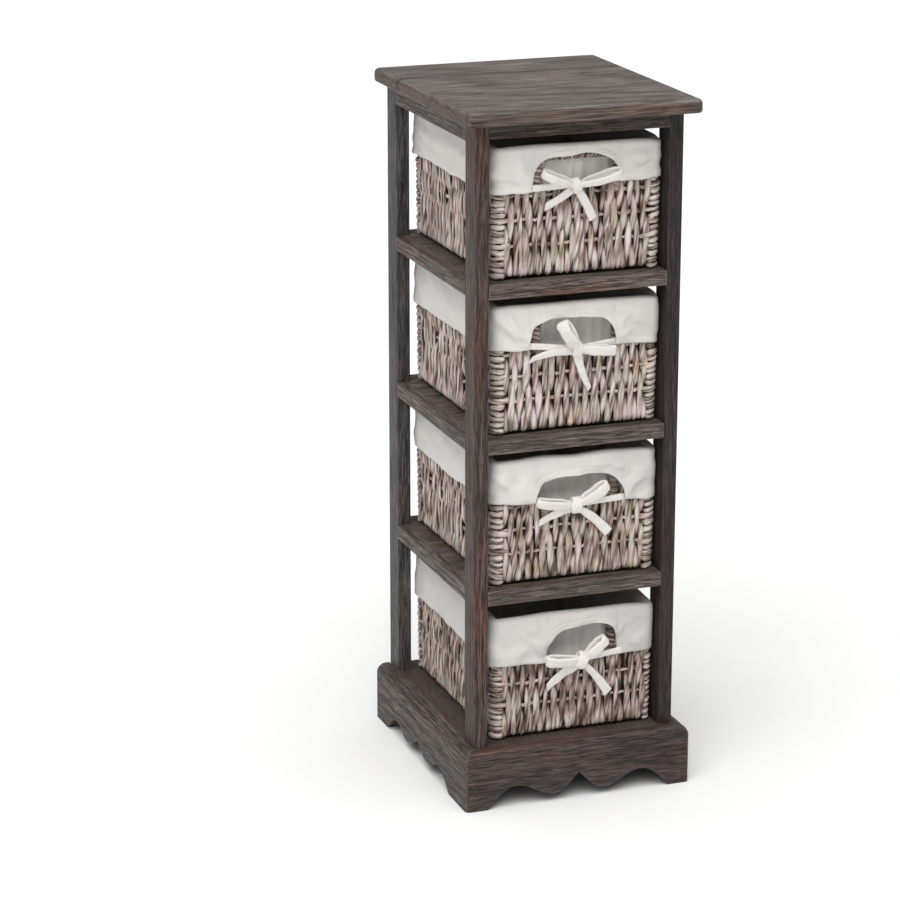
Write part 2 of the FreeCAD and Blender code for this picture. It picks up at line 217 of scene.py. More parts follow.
# ---------------------------------------------------------------------------
# stained, weathered wood: growth rings round an off-centre pith, fine fibre,
# open pores, patches of brown, worn arrises
# ---------------------------------------------------------------------------
def wood(name, grain, seed, tone=1.0, warm=0.5, seam=None, busy=1.0, tint=(1.0, 1.0, 1.0), reach=1.0):
    g = Graph(name)
    r = np.random.default_rng(seed)
    x, y, z = g.split(g.object_coords())
    along, a, b = {"x": (x, y, z), "y": (y, x, z), "z": (z, x, y)}[grain]
    off = [float(v) for v in r.uniform(-3, 3, 3)]
    along = g.math("ADD", along, off[0])
    a = g.math("ADD", a, off[1])
    b = g.math("ADD", b, off[2])
    # slow wander of the fibres
    slow = g.noise(g.join(g.math("MULTIPLY", along, 6.5), g.math("MULTIPLY", a, 18.0), g.math("MULTIPLY", b, 18.0)), 1.0, 3.0, 0.5, colour=True)
    sx, sy, sz = g.split_colour(slow)
    sway = 0.013 / reach
    wa = g.math("MULTIPLY_ADD", g.math("SUBTRACT", sx, 0.5), sway, a)
    wb = g.math("MULTIPLY_ADD", g.math("SUBTRACT", sy, 0.5), sway, b)
    # growth rings
    ang = float(r.uniform(0, TAU))
    dist = float(r.uniform(0.05, 0.12))
    pa, pb = off[1] + dist * math.cos(ang), off[2] + dist * math.sin(ang)
    da, db = g.math("SUBTRACT", wa, pa), g.math("SUBTRACT", wb, pb)
    rad = g.math("SQRT", g.math("ADD", g.math("MULTIPLY", da, da), g.math("MULTIPLY", db, db)))
    lean = float(r.uniform(0.015, 0.035) * r.choice([-1, 1]))
    rad = g.math("MULTIPLY_ADD", along, lean, rad)
    rings = g.math("DIVIDE", rad, float(r.uniform(0.0050, 0.0070)))
    frac = g.math("FRACT", rings)
    late = g.ramp(frac, [(0.0, (0.35,) * 3), (0.10, (0.0,) * 3), (0.55, (0.2,) * 3), (0.88, (1.0,) * 3), (1.0, (0.35,) * 3)])
    late = g.split_colour(late)[0]

    # fibre streaks of several widths and lengths
    def streak(fa, fg, detail, rough=0.6, shift=0.0):
        return g.noise(g.join(g.math("MULTIPLY_ADD", along, fg / reach, shift), g.math("MULTIPLY", wa, fa), g.math("MULTIPLY", wb, fa)), 1.0, detail, rough)

    broad = streak(110.0, 6.0, 3.0)
    mid = streak(560.0, 24.0, 3.0, 0.62)
    fine = streak(1150.0, 42.0, 2.0)
    pores = g.range(streak(800.0, 46.0, 2.0, 0.55, 3.7), 0.555, 0.615)
    fleck = g.range(streak(760.0, 46.0, 2.0, 0.55, 9.1), 0.590, 0.670)
    patch = g.noise(g.join(g.math("MULTIPLY", along, 7.0), g.math("MULTIPLY", wa, 26.0), g.math("MULTIPLY", wb, 26.0)), 1.0, 3.0, 0.55)
    grey = g.noise(g.join(g.math("MULTIPLY", along, 3.2), g.math("MULTIPLY", wa, 34.0), g.math("MULTIPLY", wb, 34.0)), 1.3, 3.0, 0.6)

    def k(c):
        return tuple(float(v) * tone * q for v, q in zip(c, tint))

    value = g.math("MULTIPLY_ADD", g.math("SUBTRACT", broad, 0.5), 0.60 * busy, 0.5)
    value = g.math("MULTIPLY_ADD", g.math("SUBTRACT", mid, 0.5), 1.65 * busy, value)
    value = g.math("MULTIPLY_ADD", g.math("SUBTRACT", fine, 0.5), 1.70 * busy, value)
    value = g.math("MULTIPLY_ADD", late, -0.26 * busy, value)
    value = g.math("ADD", value, 0.09, clamp=True)
    colour = g.ramp(value, [(0.0, k((0.022, 0.0165, 0.0145))), (0.28, k((0.052, 0.039, 0.0335))),
                            (0.52, k((0.100, 0.077, 0.066))), (0.76, k((0.162, 0.129, 0.112))), (1.0, k((0.255, 0.210, 0.186)))])
    colour = g.mix(g.range(patch, 0.45, 0.68, 0.0, min(0.85 * warm, 1.0), True), colour, g.mix(1.0, colour, (1.40, 0.91, 0.72), "MULTIPLY"))
    colour = g.mix(g.range(grey, 0.52, 0.76, 0.0, 0.34, True), colour, k((0.140, 0.126, 0.117)))
    colour = g.mix(g.math("MULTIPLY", fleck, 0.50 * busy), colour, k((0.225, 0.186, 0.164)))
    colour = g.mix(g.math("MULTIPLY", pores, 0.80 * busy), colour, k((0.018, 0.0140, 0.0125)))
    if seam is not None:  # glue line between two planks
        gap = g.math("ABSOLUTE", g.math("SUBTRACT", y, seam))
        line = g.math("MULTIPLY", g.range(gap, 0.0030, 0.0062, 1.0, 0.0, True), g.range(g.noise(g.object_coords(), 30.0, 2.0, 0.5), 0.30, 0.55, 0.65, 1.0))
        colour = g.mix(g.math("MULTIPLY", line, 0.90), colour, k((0.024, 0.019, 0.017)))
        # darker and browner the further a face turns from straight up, all round the rounded edge
        facing = g.split(g.nt.nodes.new("ShaderNodeNewGeometry").outputs["Normal"])[2]
        colour = g.mix(g.range(facing, 0.30, 0.92, 0.90, 0.0, True), colour, g.mix(1.0, colour, (0.72, 0.575, 0.515), "MULTIPLY"))
    # wear: pale wood where the stain is rubbed off the arrises
    wear = g.math("MULTIPLY", g.range(g.edges(0.0034), 0.015, 0.16), g.range(g.noise(g.object_coords(), 48.0, 3.0, 0.6), 0.30, 0.60, 0.25, 1.0))
    colour = g.mix(g.math("MULTIPLY", wear, 0.58), colour, k((0.262, 0.215, 0.188)))
    g.set("Base Color", colour)
    g.set("Roughness", g.range(value, 0.0, 1.0, 0.68, 0.50))
    g.bsdf.inputs["Specular IOR Level"].default_value = 0.36
    height = g.math("MULTIPLY_ADD", mid, 0.6, g.math("MULTIPLY", fine, 0.5))
    height = g.math("MULTIPLY_ADD", pores, -0.7, height)
    height = g.math("MULTIPLY_ADD", late, 0.22, height)
    g.set("Normal", g.bump(height, 0.80, 0.0007))
    return g.mat


# ---------------------------------------------------------------------------
# other finishes
# ---------------------------------------------------------------------------
def cotton(name, colour, warm, painted_falloff=(1.0, 1.0)):
    g = Graph(name)
    u, v, _ = g.split(g.uv("cloth"))
    wob = g.noise(g.uv("cloth"), 260.0, 1.0, 0.5)
    pu = g.math("MULTIPLY_ADD", wob, 0.9, g.math("MULTIPLY", u, TAU / 0.0013))
    pv = g.math("MULTIPLY_ADD", wob, 0.9, g.math("MULTIPLY", v, TAU / 0.0013))
    weave = g.math("MULTIPLY", g.math("SINE", pu), g.math("SINE", pv))
    slub_u = g.noise(g.join(g.math("MULTIPLY", u, 60.0), g.math("MULTIPLY", v, 1500.0), 0.0), 1.0, 2.0, 0.6)
    slub_v = g.noise(g.join(g.math("MULTIPLY", u, 1500.0), g.math("MULTIPLY", v, 60.0), 3.0), 1.0, 2.0, 0.6)
    slub = g.math("ADD", slub_u, slub_v)
    soft = g.noise(g.object_coords(), 19.0, 3.0, 0.55)
    tint = g.mix(g.range(soft, 0.35, 0.68, 0.0, 1.0, True), colour, warm)
    thread_and_painted_falloff = g.math("MULTIPLY_ADD", weave, 0.028, g.math("MULTIPLY_ADD", g.math("SUBTRACT", slub, 1.0), 0.20, 0.985))
    # painted shade: darker towards the right and on the lowest basket, for the light falling off there
    px, _, pz = g.split(g.object_coords())
    thread_and_painted_falloff = g.math("MULTIPLY", thread_and_painted_falloff, g.range(px, 0.015, 0.095, 1.0, painted_falloff[0], True))
    thread_and_painted_falloff = g.math("MULTIPLY", thread_and_painted_falloff, g.range(pz, 0.24, 0.30, painted_falloff[1], 1.0, True))
    g.set("Base Color", g.mix(1.0, tint, g.join(thread_and_painted_falloff, thread_and_painted_falloff, thread_and_painted_falloff), "MULTIPLY"))
    g.bsdf.inputs["Roughness"].default_value = 0.9
    g.bsdf.inputs["Specular IOR Level"].default_value = 0.2
    g.bsdf.inputs["Sheen Weight"].default_value = 0.18
    g.bsdf.inputs["Sheen Roughness"].default_value = 0.5
    pucker = g.noise(g.object_coords(), 120.0, 3.0, 0.6)
    height = g.math("MULTIPLY_ADD", weave, 0.35, g.math("MULTIPLY", slub, 0.5))
    height = g.math("MULTIPLY_ADD", pucker, 1.1, height)
    g.set("Normal", g.bump(height, 0.55, 0.0005))
    return g.mat


def husk(name):
    """Whitewashed dried husk with painted shade: the shade channel of the husk attribute darkens and browns the
    strands in the hollows, under-passes and edges.
    """
    g = Graph(name)
    tone, hue, shade = g.split_colour(g.attribute("husk"))
    u, v, _ = g.split(g.uv("strand"))
    tw = g.math("MULTIPLY_ADD", v, 0.13, u)
    fibre = g.noise(g.join(g.math("MULTIPLY", tw, 900.0), g.math("MULTIPLY", v, 40.0), 0.0), 1.0, 1.0, 0.5)
    hair = g.noise(g.join(g.math("MULTIPLY", tw, 3200.0), g.math("MULTIPLY", v, 90.0), 4.0), 1.0, 1.0, 0.5)
    strip = g.noise(g.join(g.math("MULTIPLY", tw, 380.0), g.math("MULTIPLY", v, 30.0), 8.0), 1.0, 0.0, 0.4)
    blot = g.noise(g.object_coords(), 62.0, 3.0, 0.6)
    val = g.math("MULTIPLY_ADD", g.math("SUBTRACT", strip, 0.5), 1.45, tone)
    val = g.math("MULTIPLY_ADD", g.math("SUBTRACT", fibre, 0.5), 0.70, val)
    val = g.math("MULTIPLY_ADD", g.math("SUBTRACT", hair, 0.5), 0.25, val)
    val = g.math("MULTIPLY_ADD", g.math("SUBTRACT", blot, 0.5), 0.55, val, clamp=True)
    col = g.ramp(val, [(0.0, (0.150, 0.105, 0.080)), (0.22, (0.285, 0.221, 0.186)), (0.45, (0.435, 0.365, 0.336)),
                       (0.70, (0.595, 0.530, 0.510)), (1.0, (0.800, 0.752, 0.740))])
    drift = g.noise(g.object_coords(), 42.0, 2.0, 0.5)
    col = g.mix(g.range(drift, 0.38, 0.62), g.mix(1.0, col, (1.03, 0.945, 0.965), "MULTIPLY"), g.mix(1.0, col, (0.985, 0.995, 0.90), "MULTIPLY"))
    rust = g.noise(g.vmath("ADD", g.object_coords(), (3.1, 1.7, 5.3)), 58.0, 2.0, 0.5)
    col = g.mix(g.range(rust, 0.62, 0.72, 0.0, 0.60, True), col, g.mix(1.0, col, (1.06, 0.80, 0.66), "MULTIPLY"))
    col = g.mix(g.math("MULTIPLY", hue, 0.70), col, g.mix(1.0, col, (1.03, 0.86, 0.68), "MULTIPLY"))
    # painted shade in the creases of the strip pattern
    crease_shade = g.range(strip, 0.30, 0.42, 0.62, 1.0)
    col = g.mix(1.0, col, g.join(crease_shade, crease_shade, crease_shade), "MULTIPLY")
    # painted shade: the husk colour darkened and browned, mixed in where the shade channel is low
    painted_shade_colour = g.mix(1.0, col, (0.22, 0.175, 0.150), "MULTIPLY")
    col = g.mix(shade, painted_shade_colour, col)
    g.set("Base Color", col)
    g.set("Roughness", g.range(fibre, 0.3, 0.7, 0.80, 0.60))
    g.bsdf.inputs["Specular IOR Level"].default_value = 0.28
    h = g.math("MULTIPLY_ADD", strip, 0.9, g.math("MULTIPLY_ADD", fibre, 0.6, g.math("MULTIPLY", hair, 0.22)))
    g.set("Normal", g.bump(h, 0.8, 0.0009))
    return g.mat


def steel(name, colour, rough):
    g = Graph(name)
    n = g.noise(g.object_coords(), 420.0, 3.0, 0.6)
    m = g.noise(g.object_coords(), 60.0, 2.0, 0.5)
    g.set("Base Color", g.mix(g.range(m, 0.4, 0.7, 0.0, 0.6), colour, tuple(c * 0.55 for c in colour)))
    g.bsdf.inputs["Metallic"].default_value = 1.0
    g.set("Roughness", g.range(n, 0.3, 0.7, rough, rough + 0.2))
    g.set("Normal", g.bump(n, 0.3, 0.0002))
    return g.mat


def floor_mat():
    g = Graph("floor_pale")
    n = g.noise(g.object_coords(), 6.0, 3.0, 0.5)
    g.set("Base Color", g.mix(g.range(n, 0.3, 0.7, 0.0, 1.0), (0.86, 0.86, 0.855), (0.88, 0.88, 0.875)))
    g.bsdf.inputs["Roughness"].default_value = 0.75
    g.bsdf.inputs["Specular IOR Level"].default_value = 0.25
    return g.mat


# ---------------------------------------------------------------------------
# floor
# ---------------------------------------------------------------------------
def make_floor():
    n, size = 96, 40.0
    verts = [(0.0, 0.0, 0.0)] + [(size * math.cos(TAU * i / n), size * math.sin(TAU * i / n), 0.0) for i in range(n)]
    me = bpy.data.meshes.new("floor")
    me.from_pydata(verts, [], [(0, 1 + i, 1 + (i + 1) % n) for i in range(n)])
    ob = bpy.data.objects.new("floor", me)
    scene.collection.objects.link(ob)
    me.materials.append(floor_mat())


make_floor()

# ---------------------------------------------------------------------------
# finishes of the wooden pieces
# ---------------------------------------------------------------------------
GRAIN = {}
for n in NODES:
    if n.startswith("post"):
        GRAIN[n] = "z"
    elif n in ("apron_left", "apron_right", "plinth_left", "plinth_right", "base_cleat_left", "base_cleat_right") or n.endswith("left_rail") or n.endswith("right_rail"):
        GRAIN[n] = "y"
    elif n == "base_board":
        GRAIN[n] = "y"
    elif n.startswith(("top_board", "apron", "plinth_front", "plinth_rear", "base_", "shelf")):
        GRAIN[n] = "x"


def dress(node, mat):
    ob = NODES[node]
    if not ob.material_slots:
        ob.data.materials.append(mat)
    for s in ob.material_slots:
        s.material = mat


# the low depths of post_front_right, plinth_front, apron_front and base_board are painted shade: light falling off
# to the right and low down, shadow under the top's overhang and under the bottom basket
STAIN_AND_PAINTED_SHADE = {  # stain depth and painted shade, how brown, tint
    "post_front_left": (0.62, 0.8, (0.94, 0.80, 0.755)), "post_front_right": (0.33, 0.5, (0.80, 0.66, 0.70)), "post_rear_left": (0.68, 0.3, (1.06, 1.16, 1.22)),
    "plinth_front": (0.60, 0.9, (0.84, 0.77, 0.80)), "plinth_left": (0.72, 0.4, (1.0, 1.04, 1.04)), "plinth_right": (0.66, 0.6, (1.0, 1.0, 1.0)),
    "top_board_front": (1.31, 0.15, (0.99, 1.09, 1.14)), "top_board_rear": (1.25, 0.05, (0.99, 1.09, 1.14)), "base_board": (0.60, 0.5, (1.0, 1.0, 1.0)),
    "apron_front": (0.46, 0.7, (1.0, 1.0, 1.0)), "shelf_1_front_rail": (1.00, 1.2, (1.0, 1.0, 1.0)), "shelf_2_front_rail": (0.90, 1.2, (1.0, 1.0, 1.0)),
    "shelf_3_front_rail": (0.84, 0.9, (1.0, 1.0, 1.0)),
}
for i, n in enumerate(sorted(GRAIN)):
    r = np.random.default_rng(900 + i)
    tone = float(r.uniform(0.88, 1.02))
    warm = float(r.uniform(0.40, 1.0))
    tone, warm, tint = STAIN_AND_PAINTED_SHADE.get(n, (tone, warm, (1.0, 1.0, 1.0)))
    dress(n, wood("stained_wood_" + n, GRAIN[n], 100 + i, tone, warm, *((0.077, 0.72, tint, 2.0) if n.startswith("top_board") else (None, 0.45 if n == "base_board" else 1.0, tint, 1.2))))

dress("rail_dowels", wood("dowel_wood_beech", "x", 77, 2.2, 0.8))
for n in ("top_screws", "plinth_screws"):
    dress(n, steel("screw_steel_zinc", (0.55, 0.55, 0.53), 0.28))
wire_mat = steel("frame_wire_dark", (0.060, 0.052, 0.046), 0.55)
for i in range(1, 5):
    dress("basket_%d_wire_frame" % i, wire_mat)


# ---------------------------------------------------------------------------
# basket shape, in millimetres from the middle of the basket's underside
# ---------------------------------------------------------------------------
BASKET_AT = [(3.4, 6.0, 652.9), (4.0, 6.0, 463.4), (3.8, 6.0, 273.9), (4.0, 6.0, 74.4)]
CORNER_R = 12.0


def hx(z):
    return 105.0 + 1.0 * z / 156.5


def hy(z):
    return 140.0 + 4.0 * z / 156.5


AXES = {  # lateral direction, outward normal
    "front": (np.array([1.0, 0, 0]), np.array([0, -1.0, 0])),
    "back": (np.array([-1.0, 0, 0]), np.array([0, 1.0, 0])),
    "left": (np.array([0, -1.0, 0]), np.array([-1.0, 0, 0])),
    "right": (np.array([0, 1.0, 0]), np.array([1.0, 0, 0])),
}
UP = np.array([0.0, 0.0, 1.0])


def on_wall(wall, a, z, d):
    """Points at lateral a, height z and depth d under the basket's outer face."""
    lat, nrm = AXES[wall]
    a, z, d = np.broadcast_arrays(np.asarray(a, float), np.asarray(z, float), np.asarray(d, float))
    if wall in ("front", "back"):
        k, h = hx(z) / hx(78.0), hy(z)
    else:
        k, h = hy(z) / hy(78.0), hx(z)
    return (a * k)[..., None] * lat + (h - d)[..., None] * nrm + z[..., None] * UP


class Strands:
    """Many closed strands in one mesh, with the running coordinates of each."""

    def __init__(self):
        self.v, self.f, self.uv, self.col, self.rect = [], [], [], [], []
        self.count = 0

    def add(self, c, w, t, hw, ht, tone, hue=0.0, shade=1.0, n=10, lobes=2, amp=0.10, twist=24.0, phase=0.0, caps=2.6, square=1.0):
        c = np.asarray(c, float)
        k = len(c)
        w = np.broadcast_to(np.asarray(w, float), (k, 3)).copy()
        t = np.broadcast_to(np.asarray(t, float), (k, 3)).copy()
        hw = np.broadcast_to(np.asarray(hw, float), (k,)).copy()
        ht = np.broadcast_to(np.asarray(ht, float), (k,)).copy()
        hue = np.broadcast_to(np.asarray(hue, float), (k,)).copy()
        shade = np.broadcast_to(np.asarray(shade, float), (k,)).copy()
        tone = np.broadcast_to(np.asarray(tone, float), (k,)).copy()
        if caps:
            def unit(q):
                return q / np.linalg.norm(q)

            e0, e1 = unit(c[0] - c[1]), unit(c[-1] - c[-2])
            ext, scl = np.array([1.0, 0.80, 0.45]) * caps, np.array([0.12, 0.58, 0.88])
            c = np.vstack([c[0] + e0 * ext[:, None], c, c[-1] + e1 * ext[::-1, None]])
            w = np.vstack([np.repeat(w[:1], 3, 0), w, np.repeat(w[-1:], 3, 0)])
            t = np.vstack([np.repeat(t[:1], 3, 0), t, np.repeat(t[-1:], 3, 0)])
            hw = np.concatenate([hw[0] * scl, hw, hw[-1] * scl[::-1]])
            ht = np.concatenate([ht[0] * scl, ht, ht[-1] * scl[::-1]])
            hue = np.concatenate([[hue[0]] * 3, hue, [hue[-1]] * 3])
            shade = np.concatenate([[shade[0]] * 3, shade, [shade[-1]] * 3])
            tone = np.concatenate([[tone[0]] * 3, tone, [tone[-1]] * 3])
            k += 6
        seg = np.linalg.norm(np.diff(c, axis=0), axis=1)
        s = np.concatenate([[0.0], np.cumsum(seg)])
        th = np.arange(n) / n * TAU
        ph = phase + TAU * s / twist
        rad = 1.0 + amp * np.cos(lobes * (th[None, :] - ph[:, None]))
        ct, st = np.cos(th), np.sin(th)
        if square != 1.0:
            ct, st = np.sign(ct) * np.abs(ct) ** square, np.sign(st) * np.abs(st) ** square
        pts = c[:, None, :] + w[:, None, :] * (hw[:, None] * ct * rad)[..., None] + t[:, None, :] * (ht[:, None] * st * rad)[..., None]
        tang = c[min(k - 1, k // 2 + 1)] - c[max(0, k // 2 - 1)]
        good = np.dot(np.cross(w[k // 2], t[k // 2]), tang) > 0
        idx = np.arange(k * n).reshape(k, n) + self.count
        a, b = idx[:-1], np.roll(idx, -1, 1)[:-1]
        d, e = idx[1:], np.roll(idx, -1, 1)[1:]
        quad = np.stack([a, b, e, d] if good else [a, d, e, b], -1).reshape(-1, 4)
        u0, u1 = np.arange(n) / n, (np.arange(n) + 1) / n
        s0, s1 = s[:-1], s[1:]
        U0, S0 = np.meshgrid(u0, s0)
        U1, S1 = np.meshgrid(u1, s1)
        order = [(U0, S0), (U1, S0), (U1, S1), (U0, S1)] if good else [(U0, S0), (U0, S1), (U1, S1), (U1, S0)]
        uv = np.stack([np.stack(p, -1) for p in order], 2).reshape(-1, 4, 2)
        around = math.pi * (hw.mean() + ht.mean())
        self.v.append(pts.reshape(-1, 3))
        self.f.append((quad, (idx[0][::-1] if good else idx[0], idx[-1] if good else idx[-1][::-1])))
        self.uv.append((uv, around, s[-1]))
        col = np.repeat(np.stack([tone, hue, shade, np.ones(k)], -1)[:, None, :], n, 1)
        # painted shade: the shade channel falls off towards each strand's edges and back
        col[:, :, 2] *= 0.40 + 0.60 * np.clip(np.sin(th), 0, 1)[None, :] ** 0.8
        self.col.append(col.reshape(-1, 4))
        self.count += k * n

    def build(self, name, at, mat, seed):
        r = np.random.default_rng(seed)
        # atlas: one upright rectangle a strand, packed in rows
        order = sorted(range(len(self.uv)), key=lambda i: -self.uv[i][2])
        area = sum((q[1] + 2.0) * (q[2] + 2.0) for q in self.uv)
        width = math.sqrt(area) * 1.05
        places, x, y, row = {}, 0.0, 0.0, 0.0
        for i in order:
            w, h = self.uv[i][1] + 2.0, self.uv[i][2] + 2.0
            if x + w > width and x > 0:
                x, y, row = 0.0, y + row, 0.0
            places[i] = (x + 1.0, y + 1.0)
            x, row = x + w, max(row, h)
        scale = 1.0 / max(width, y + row)
        verts = np.vstack(self.v)
        verts = (verts + np.asarray(at)) * MM
        faces, strand_uv, atlas_uv = [], [], []
        for i, ((quad, caps), (uv, around, length)) in enumerate(zip(self.f, self.uv)):
            px, py = places[i]
            su = uv * np.array([around, 1.0]) * MM + r.uniform(0, 5, 2)
            au = (uv * np.array([around, 1.0]) + np.array([px, py])) * scale
            faces.extend(quad.tolist())
            strand_uv.append(su.reshape(-1, 2))
            atlas_uv.append(au.reshape(-1, 2))
            for cap, yy in ((caps[0], 0.0), (caps[1], length)):
                faces.append(tuple(int(q) for q in cap))
                m = len(cap)
                ring = np.stack([np.linspace(0.1, 0.9, m) * around, np.full(m, yy)], -1)
                strand_uv.append(ring * MM)
                atlas_uv.append((ring + np.array([px, py])) * scale)
        me = bpy.data.meshes.new(name)
        me.from_pydata(verts.tolist(), [], faces)
        for label, data in (("strand", strand_uv), ("OFBake", atlas_uv)):
            layer = me.uv_layers.new(name=label)
            layer.data.foreach_set("uv", np.vstack(data).astype(np.float32).ravel())
        colour = me.attributes.new("husk", "FLOAT_COLOR", "POINT")
        colour.data.foreach_set("color", np.vstack(self.col).astype(np.float32).ravel())
        me.polygons.foreach_set("use_smooth", np.ones(len(me.polygons), bool))
        me.materials.append(mat)
        me.update()
        ob = bpy.data.objects.new(name, me)
        scene.collection.objects.link(ob)
        return ob


def smooth_field(seed, count, fmin, fmax):
    """Sum of slow waves over two coordinates in millimetres, about -1 to 1."""
    r = np.random.default_rng(seed)
    k = r.uniform(fmin, fmax, count) * TAU
    a = r.uniform(0, TAU, count)
    p = r.uniform(0, TAU, count)

    def f(u, v):
        u, v = np.asarray(u, float), np.asarray(v, float)
        s = 0.0
        for i in range(count):
            s = s + np.sin(u * k[i] * math.cos(a[i]) + v * k[i] * math.sin(a[i]) + p[i])
        return s / math.sqrt(count)

    return f


# ---------------------------------------------------------------------------
# weave
# ---------------------------------------------------------------------------
LEVELS = (41.0, 70.5, 100.0, 129.0)
DEEP, SWING = 3.9, 2.5
HOLE_CUT = 56.0
WALLS = {"front": (89.0, 31), "back": (89.0, 31), "left": (125.5, 44), "right": (125.5, 44)}


def swing(z, levels, signs, foot, top):
    """Over (+1) and under (-1) along the height, eased between the wires."""
    zs = np.concatenate([[5.0], levels, [top]])
    ss = np.concatenate([[foot], signs, [0.0]])
    i = np.clip(np.searchsorted(zs, z) - 1, 0, len(zs) - 2)
    t = np.clip((z - zs[i]) / (zs[i + 1] - zs[i]), 0, 1)
    return ss[i] + (ss[i + 1] - ss[i]) * (0.5 - 0.5 * np.cos(np.pi * t))


def weave(basket, wash):
    r = np.random.default_rng(4000 + basket)
    walls, trim = Strands(), Strands()
    wires = {}
    for wi, (wall, (span, count)) in enumerate(WALLS.items()):
        lat, nrm = AXES[wall]
        begin, end = -span, span
        if basket == 4 and wall == "front":
            end, count = span + 5.6, count + 1
        pitch = (end - begin) / (count - 1)
        patch = smooth_field(50 * basket + wi, 7, 0.008, 0.032)
        pale = smooth_field(50 * basket + wi + 20, 8, 0.006, 0.045)
        lv = np.array(LEVELS) + r.uniform(-1.4, 1.4, 4)
        wires[wall] = lv
        phase_row = int(r.integers(0, 2))
        out_foot = [(i + phase_row) % 2 == 1 or r.random() < 0.42 for i in range(count)]
        for i in range(count):
            edge = min(i, count - 1 - i)
            a0 = begin + pitch * i + r.normal(0, 0.55 if edge else 0.15)
            holed = wall == "front" and abs(a0) < HOLE_CUT
            top = tie_height(a0, LINERS[basket - 1], BOWS[basket - 1]) - 3.4 if holed else 151.0
            m = (3 if top > 103.0 else 2) if holed else 4
            levels = lv[:m] + r.normal(0, 1.6, m)
            signs = np.array([1.0 if (i + q + phase_row) % 2 == 0 else -1.0 for q in range(m)])
            signs *= np.where(r.random(m) < 0.035, -0.5, 1.0)
            foot = r.uniform(0.35, 0.95) if out_foot[i] else -r.uniform(0.5, 1.0)
            crowd = sum(out_foot[q] for q in (i - 1, i + 1) if 0 <= q < count)
            z = np.concatenate([np.arange(9.4, top - 1.4, 2.8), [top]])
            s = swing(z, levels, signs, foot, top)
            s = s + 0.34 * (1 - s * s)
            lean = np.clip(r.normal(0, 1.5), -3.0, 3.0) * (1.0 if edge else 0.2)
            sway = np.clip(r.normal(0, 0.6), -1.2, 1.2) * (1.0 if edge else 0.3)
            a = a0 + lean * (z - 24.0) / 78.0 + sway * np.clip(z / 40.0, 0.2, 1.0) * np.sin(z / r.uniform(11, 22) + r.uniform(0, TAU))
            d = DEEP - SWING * s + 0.22 * np.sin(z / r.uniform(6, 11) + r.uniform(0, TAU)) + r.normal(0, 0.18)
            wide = float(np.clip(r.normal(1.0, 0.13), 0.76, 1.28))
            lump = 0.24 * np.sin(z / r.uniform(5, 9) + r.uniform(0, TAU)) + 0.15 * np.sin(z / r.uniform(2.6, 4.2) + r.uniform(0, TAU))
            hw = (3.20 + 1.08 * s - 0.08 * s * s + lump) * wide
            ht = 1.50 + 0.50 * (1 - np.abs(s) ** 1.4) + 0.3 * lump
            c = on_wall(wall, a, z, d)
            # foot: round the bottom wire and under
            ph = np.linspace(0, math.pi / 2, 5)[:-1]
            fd = np.concatenate([[15.0, 12.0], 9.1 - 5.5 * np.sin(ph)])
            fz = np.concatenate([[3.4, 3.4], 9.1 - 5.7 * np.cos(ph)]) + abs(r.normal(0, 0.7)) * np.array([0, 0, 1, 1, 0.7, 0.4])
            fa = a[0] + r.normal(0, 0.8) * np.linspace(1, 0, len(fd))
            foot_at = on_wall(wall, fa, fz, fd + (d[0] - DEEP) * np.linspace(0, 1, len(fd)))
            c = np.vstack([foot_at, c])
            m = len(fd)
            knob = (3.55 + 0.95 * foot - 0.36 * crowd) * float(np.clip(r.normal(1.0, 0.09), 0.84, 1.18))
            hw = np.concatenate([np.linspace(3.0, knob, m), hw])
            grow = np.linspace(1, 0, 6) ** 1.2
            hw[m:m + 6] = hw[m:m + 6] * (1 - grow) + knob * grow
            ht = np.concatenate([np.full(m, 2.7), ht])
            ht[m:m + 6] = ht[m:m + 6] * (1 - grow) + 2.6 * grow
            tang = np.gradient(c, axis=0)
            tang /= np.linalg.norm(tang, axis=1)[:, None]
            t = nrm * (tang @ UP)[:, None] - UP * (tang @ nrm)[:, None]
            zz = np.concatenate([fz, z])
            aa = np.concatenate([fa, a])
            ss = np.concatenate([np.full(m, foot), s])
            hue = np.clip(patch(aa, zz) * 0.55 - 0.18 + r.normal(0, 0.13), 0, 0.9)
            drift = 0.05 * np.sin(zz / r.uniform(9, 20) + r.uniform(0, TAU))
            tone = np.clip(wash + (0.12, 0.12, 0.14, 0.20)[basket - 1] * pale(aa, zz) + drift + r.normal(0, 0.09) + (0.17, 0.17, 0.17, 0.24)[basket - 1] * np.clip(1 - zz / 24.0, 0, 1), 0.02, 0.98)
            # painted shade: darker where the strand passes under, and on the first points of the foot under the
            # basket
            shade = np.clip(np.where(ss > 0, 0.86 + 0.14 * ss, 0.86 + 0.60 * ss - 1.1 * np.maximum(-ss - 0.3, 0.0)), 0.02, 1.0)
            shade[:2] = 0.2
            walls.add(c, lat, t, hw, ht, tone, hue, shade, n=9, lobes=2, amp=0.05,
                      twist=float(r.uniform(24, 38) * r.choice([1, 1, 1, -1])), phase=float(r.uniform(0, TAU)), caps=1.8)
        # second leg of the weave behind, painted near black as the shade in the gaps
        for i in range(count + 1):
            a0 = begin + pitch * (i - 0.5)
            holed = wall == "front" and abs(a0) < HOLE_CUT
            z = np.linspace(7.0, tie_height(a0, LINERS[basket - 1], BOWS[basket - 1]) - 4.4 if holed else 149.0, 7)
            c = on_wall(wall, a0 + 0.4 * np.sin(z / 17.0 + i), z, 7.75 + 0.30 * (i % 2))
            walls.add(c, lat, nrm, 3.2, 0.62, 0.0, 0.0, 0.0, n=6, lobes=1, amp=0.0, caps=0.6)
